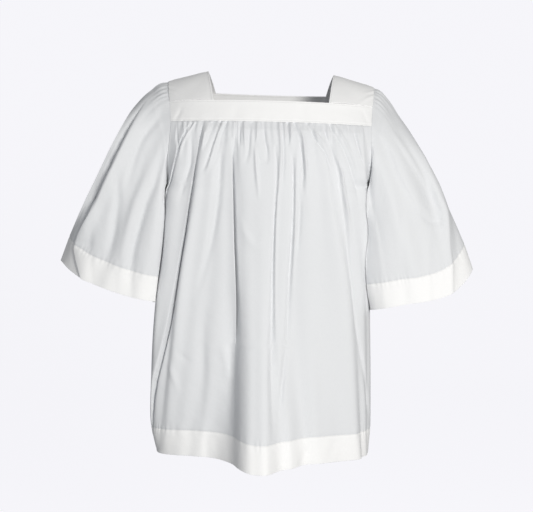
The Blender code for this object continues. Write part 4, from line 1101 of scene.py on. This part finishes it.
SLEEVE_CREASES = {
    "right_sleeve": (
        (6.5, 7.5, (
            (-206, -86, 0), (-223, -113, -2.6), (-244, -141, -3.6), (-261, -185, -3.6), (-272, -226, -2),
            (-279, -252, 0),
        )),
        (8.0, 9.0, (
            (-296, -190, 0), (-293, -223, -2.6), (-291, -254, -4.4), (-297, -301, -5), (-303, -341, -4.4),
            (-309, -368, -2.4), (-315, -400, 0),
        )),
        (7.5, 9.0, (
            (-200, -137, 0), (-210, -185, -3.2), (-223, -233, -4.6), (-237, -267, -5.4), (-247, -301, -6),
            (-257, -336, -6), (-264, -370, -5.4), (-266, -398, -3), (-265, -452, -1.4),
        )),
        (8.0, 9.0, (
            (-229, -166, 0), (-237, -214, 1.6), (-258, -271, 2.6), (-272, -328, 2.4), (-282, -379, 1.5),
            (-286, -433, 1),
        )),
        (7.0, 6.0, ((-341, -290, 0), (-345, -328, -1.4), (-345, -366, -1.2), (-341, -414, -0.8))),
    ),
    "left_sleeve": (
        (5.0, 8.0, ((281, -280, 0), (290, -297, -1.8), (304, -305, -2.4), (328, -302, -2), (340, -298, 0))),
        (9.0, 3.6, (
            (304, -203, 0), (323, -253, 2.4), (333, -274, 3.2), (338, -312, 3.6), (340, -349, 3.6), (344, -383, 3.2),
            (344, -437, 2.4),
        )),
        (5.0, 8.0, (
            (189, -150, 0), (191, -172, 2.6), (194, -208, 2), (198, -262, 1.4), (202, -319, 1.2), (207, -366, 1.2),
            (211, -398, 1), (214, -444, 0.6),
        )),
        (7.0, 8.0, ((222, -120, 0), (246, -152, 2.2), (268, -186, 3), (290, -222, 2.4), (306, -250, 0))),
        (5.0, 15.0, (
            (203, -128, 0), (216, -146, 2), (231, -176, 3.4), (245, -216, 3.6), (262, -250, 3.2), (275, -272, 2.4),
            (290, -282, 1.2), (304, -286, 0),
        )),
        (4.0, 4.0, ((256, -91, 0), (275, -137, 1.6), (296, -179, 1.8), (313, -214, 0))),
        (9.0, 9.0, ((240, -243, 0), (244, -290, -1.4), (248, -347, -1.6), (252, -395, -1.2), (253, -451, -0.8))),
        (7.0, 7.0, ((292, -322, 0), (296, -357, 1.2), (298, -391, 1.4), (298, -444, 1.2))),
    ),
}
SLEEVE_TUCKS = {
    "right_sleeve": (
        (1, (
            (-337, -268, 0, 4), (-348, -290, 2, 5), (-362, -316, 6, 8), (-374, -338, 7, 14), (-378, -356, 6, 18),
            (-374, -380, 5, 22), (-366, -401, 4, 26), (-359, -422, 4, 28),
        )),
    ),
}
SHARES = 1 - graded(
    (SLEEVE_LENGTH, 0.6), (SLEEVE_LENGTH - 1, 0.8), (SLEEVE_LENGTH - 30, 2.6), (SLEEVE_LENGTH - 80, 4.2),
    (HEM + 12, 4.4), (HEM + 4, 1.5), (HEM - 3, 1.5), (HEM - 12, 4.0), (6, 4.0), (1, 0.6), (0, 0.6)
) / SLEEVE_LENGTH
TURNS = np.linspace(0.0, 1.0, 1201)  # worked out this finely, before the mesh's own columns are set among them
SLEEVE_COLUMNS = 310
sleeve_cloth = cloth_finish("sleeve_cloth", HEM_STITCHES, SINGLE_WHITE, HEM)
sleeve_walls = [DOUBLE_WALL if (1 - share) * SLEEVE_LENGTH < HEM else SINGLE_WALL for share in SHARES]
for name, side, node, strap in (
    ("right_sleeve", -1, "sleeve_right", "strap_right"), ("left_sleeve", 1, "sleeve_left", "strap_left")
):
    points = sleeve_points(name, side, SHARES, TURNS, SLEEVE_COLUMNS)
    flat = cut_flat(points, SLEEVE_WIDTH, (1 - SHARES) * SLEEVE_LENGTH)
    sleeve = sheet_of_cloth(name, points, flat, sleeve_walls, -side, sleeve_cloth, closed_round=True)
    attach(sleeve, "root")
    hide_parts(node)

# ---- Floor, light and camera ---------------------------------------------------------------------------------------
# A pale studio floor that curves up into a pale wall all round, well away from the garment. The soft light comes from
# in front, more of it from the camera's right than from its left, and a little from all round.

FLOOR_DROP = 0.62  # metres below the hem, as if the garment hung at the height it is worn
COVE_RADIUS, COVE_HEIGHT, COVE_CURVE = 9.0, 7.0, 3.0
CURVE_STEPS, ROUND_STEPS = 12, 72
floor_height = cad_box[0][2] - FLOOR_DROP
bm = bmesh.new()
rim = [bm.verts.new((0.0, 0.0, floor_height))]
for k in range(CURVE_STEPS + 1):
    angle = math.pi / 2 * k / CURVE_STEPS
    flare = COVE_RADIUS - COVE_CURVE + COVE_CURVE * math.sin(angle)
    rim.append(bm.verts.new((flare, 0.0, floor_height + COVE_CURVE * (1 - math.cos(angle)))))
rim.append(bm.verts.new((COVE_RADIUS, 0.0, floor_height + COVE_HEIGHT)))
edges = [bm.edges.new(pair) for pair in zip(rim, rim[1:])]
bmesh.ops.spin(
    bm, geom=rim + edges, cent=(0, 0, 0), axis=(0, 0, 1), angle=2 * math.pi, steps=ROUND_STEPS, use_merge=True
)
bmesh.ops.remove_doubles(bm, verts=bm.verts, dist=1e-5)
bmesh.ops.recalc_face_normals(bm, faces=bm.faces)
cove_mesh = bpy.data.meshes.new("studio_floor")
bm.to_mesh(cove_mesh)
bm.free()
cove_mesh.shade_smooth()
cove = bpy.data.objects.new("studio_floor", cove_mesh)
bpy.context.scene.collection.objects.link(cove)
pale = bpy.data.materials.new("pale_floor")
pale.use_nodes = True
pale_shader = pale.node_tree.nodes["Principled BSDF"]
for socket, value in (
    ("Base Color", (0.25, 0.25, 0.25, 1.0)), ("Roughness", 1.0), ("Specular IOR Level", 0.0),
    ("Emission Color", (0.93, 0.925, 0.965, 1.0)), ("Emission Strength", 0.90),
):
    pale_shader.inputs[socket].default_value = value
cove_mesh.materials.append(pale)
cove.visible_diffuse = cove.visible_glossy = cove.visible_shadow = False

world = bpy.data.worlds.new("soft_fill")
bpy.context.scene.world = world
world.use_nodes = True
sky = world.node_tree.nodes["Background"]
sky.inputs["Color"].default_value, sky.inputs["Strength"].default_value = (0.97, 0.98, 1.0, 1.0), 0.29


def soft_box(name, place, aim, size, power, colour):
    """A square lamp at a place, turned towards its aim."""
    light = bpy.data.lights.new(name, "AREA")
    light.shape, light.size, light.size_y = "RECTANGLE", size, size
    light.energy, light.color = power, colour
    lamp = bpy.data.objects.new(name, light)
    bpy.context.scene.collection.objects.link(lamp)
    lamp.location = place
    lamp.rotation_euler = (Vector(aim) - Vector(place)).to_track_quat("-Z", "Y").to_euler()


soft_box("key_light", (1.15, -3.2, 0.0), (0.0, 0.0, -0.38), 0.8, 82, (1.0, 0.985, 0.955))
soft_box("fill_light", (-2.2, -3.0, -0.3), (0.0, 0.0, -0.4), 1.8, 10, (0.92, 0.96, 1.0))

FOCAL_PIXELS, IMAGE_WIDTH, SENSOR = 1050.0, 533.0, 36.0
camera_data = bpy.data.cameras.new("camera")
camera_data.sensor_width = SENSOR
camera_data.lens = FOCAL_PIXELS / IMAGE_WIDTH * SENSOR
camera_data.clip_end = 60.0
camera = bpy.data.objects.new("camera", camera_data)
bpy.context.scene.collection.objects.link(camera)
camera.location = (-0.009, -2.1, -0.368)
camera.rotation_euler = (math.pi / 2, 0.0, 0.0)
bpy.context.scene.camera = camera
bpy.context.scene.view_settings.view_transform = "Standard"
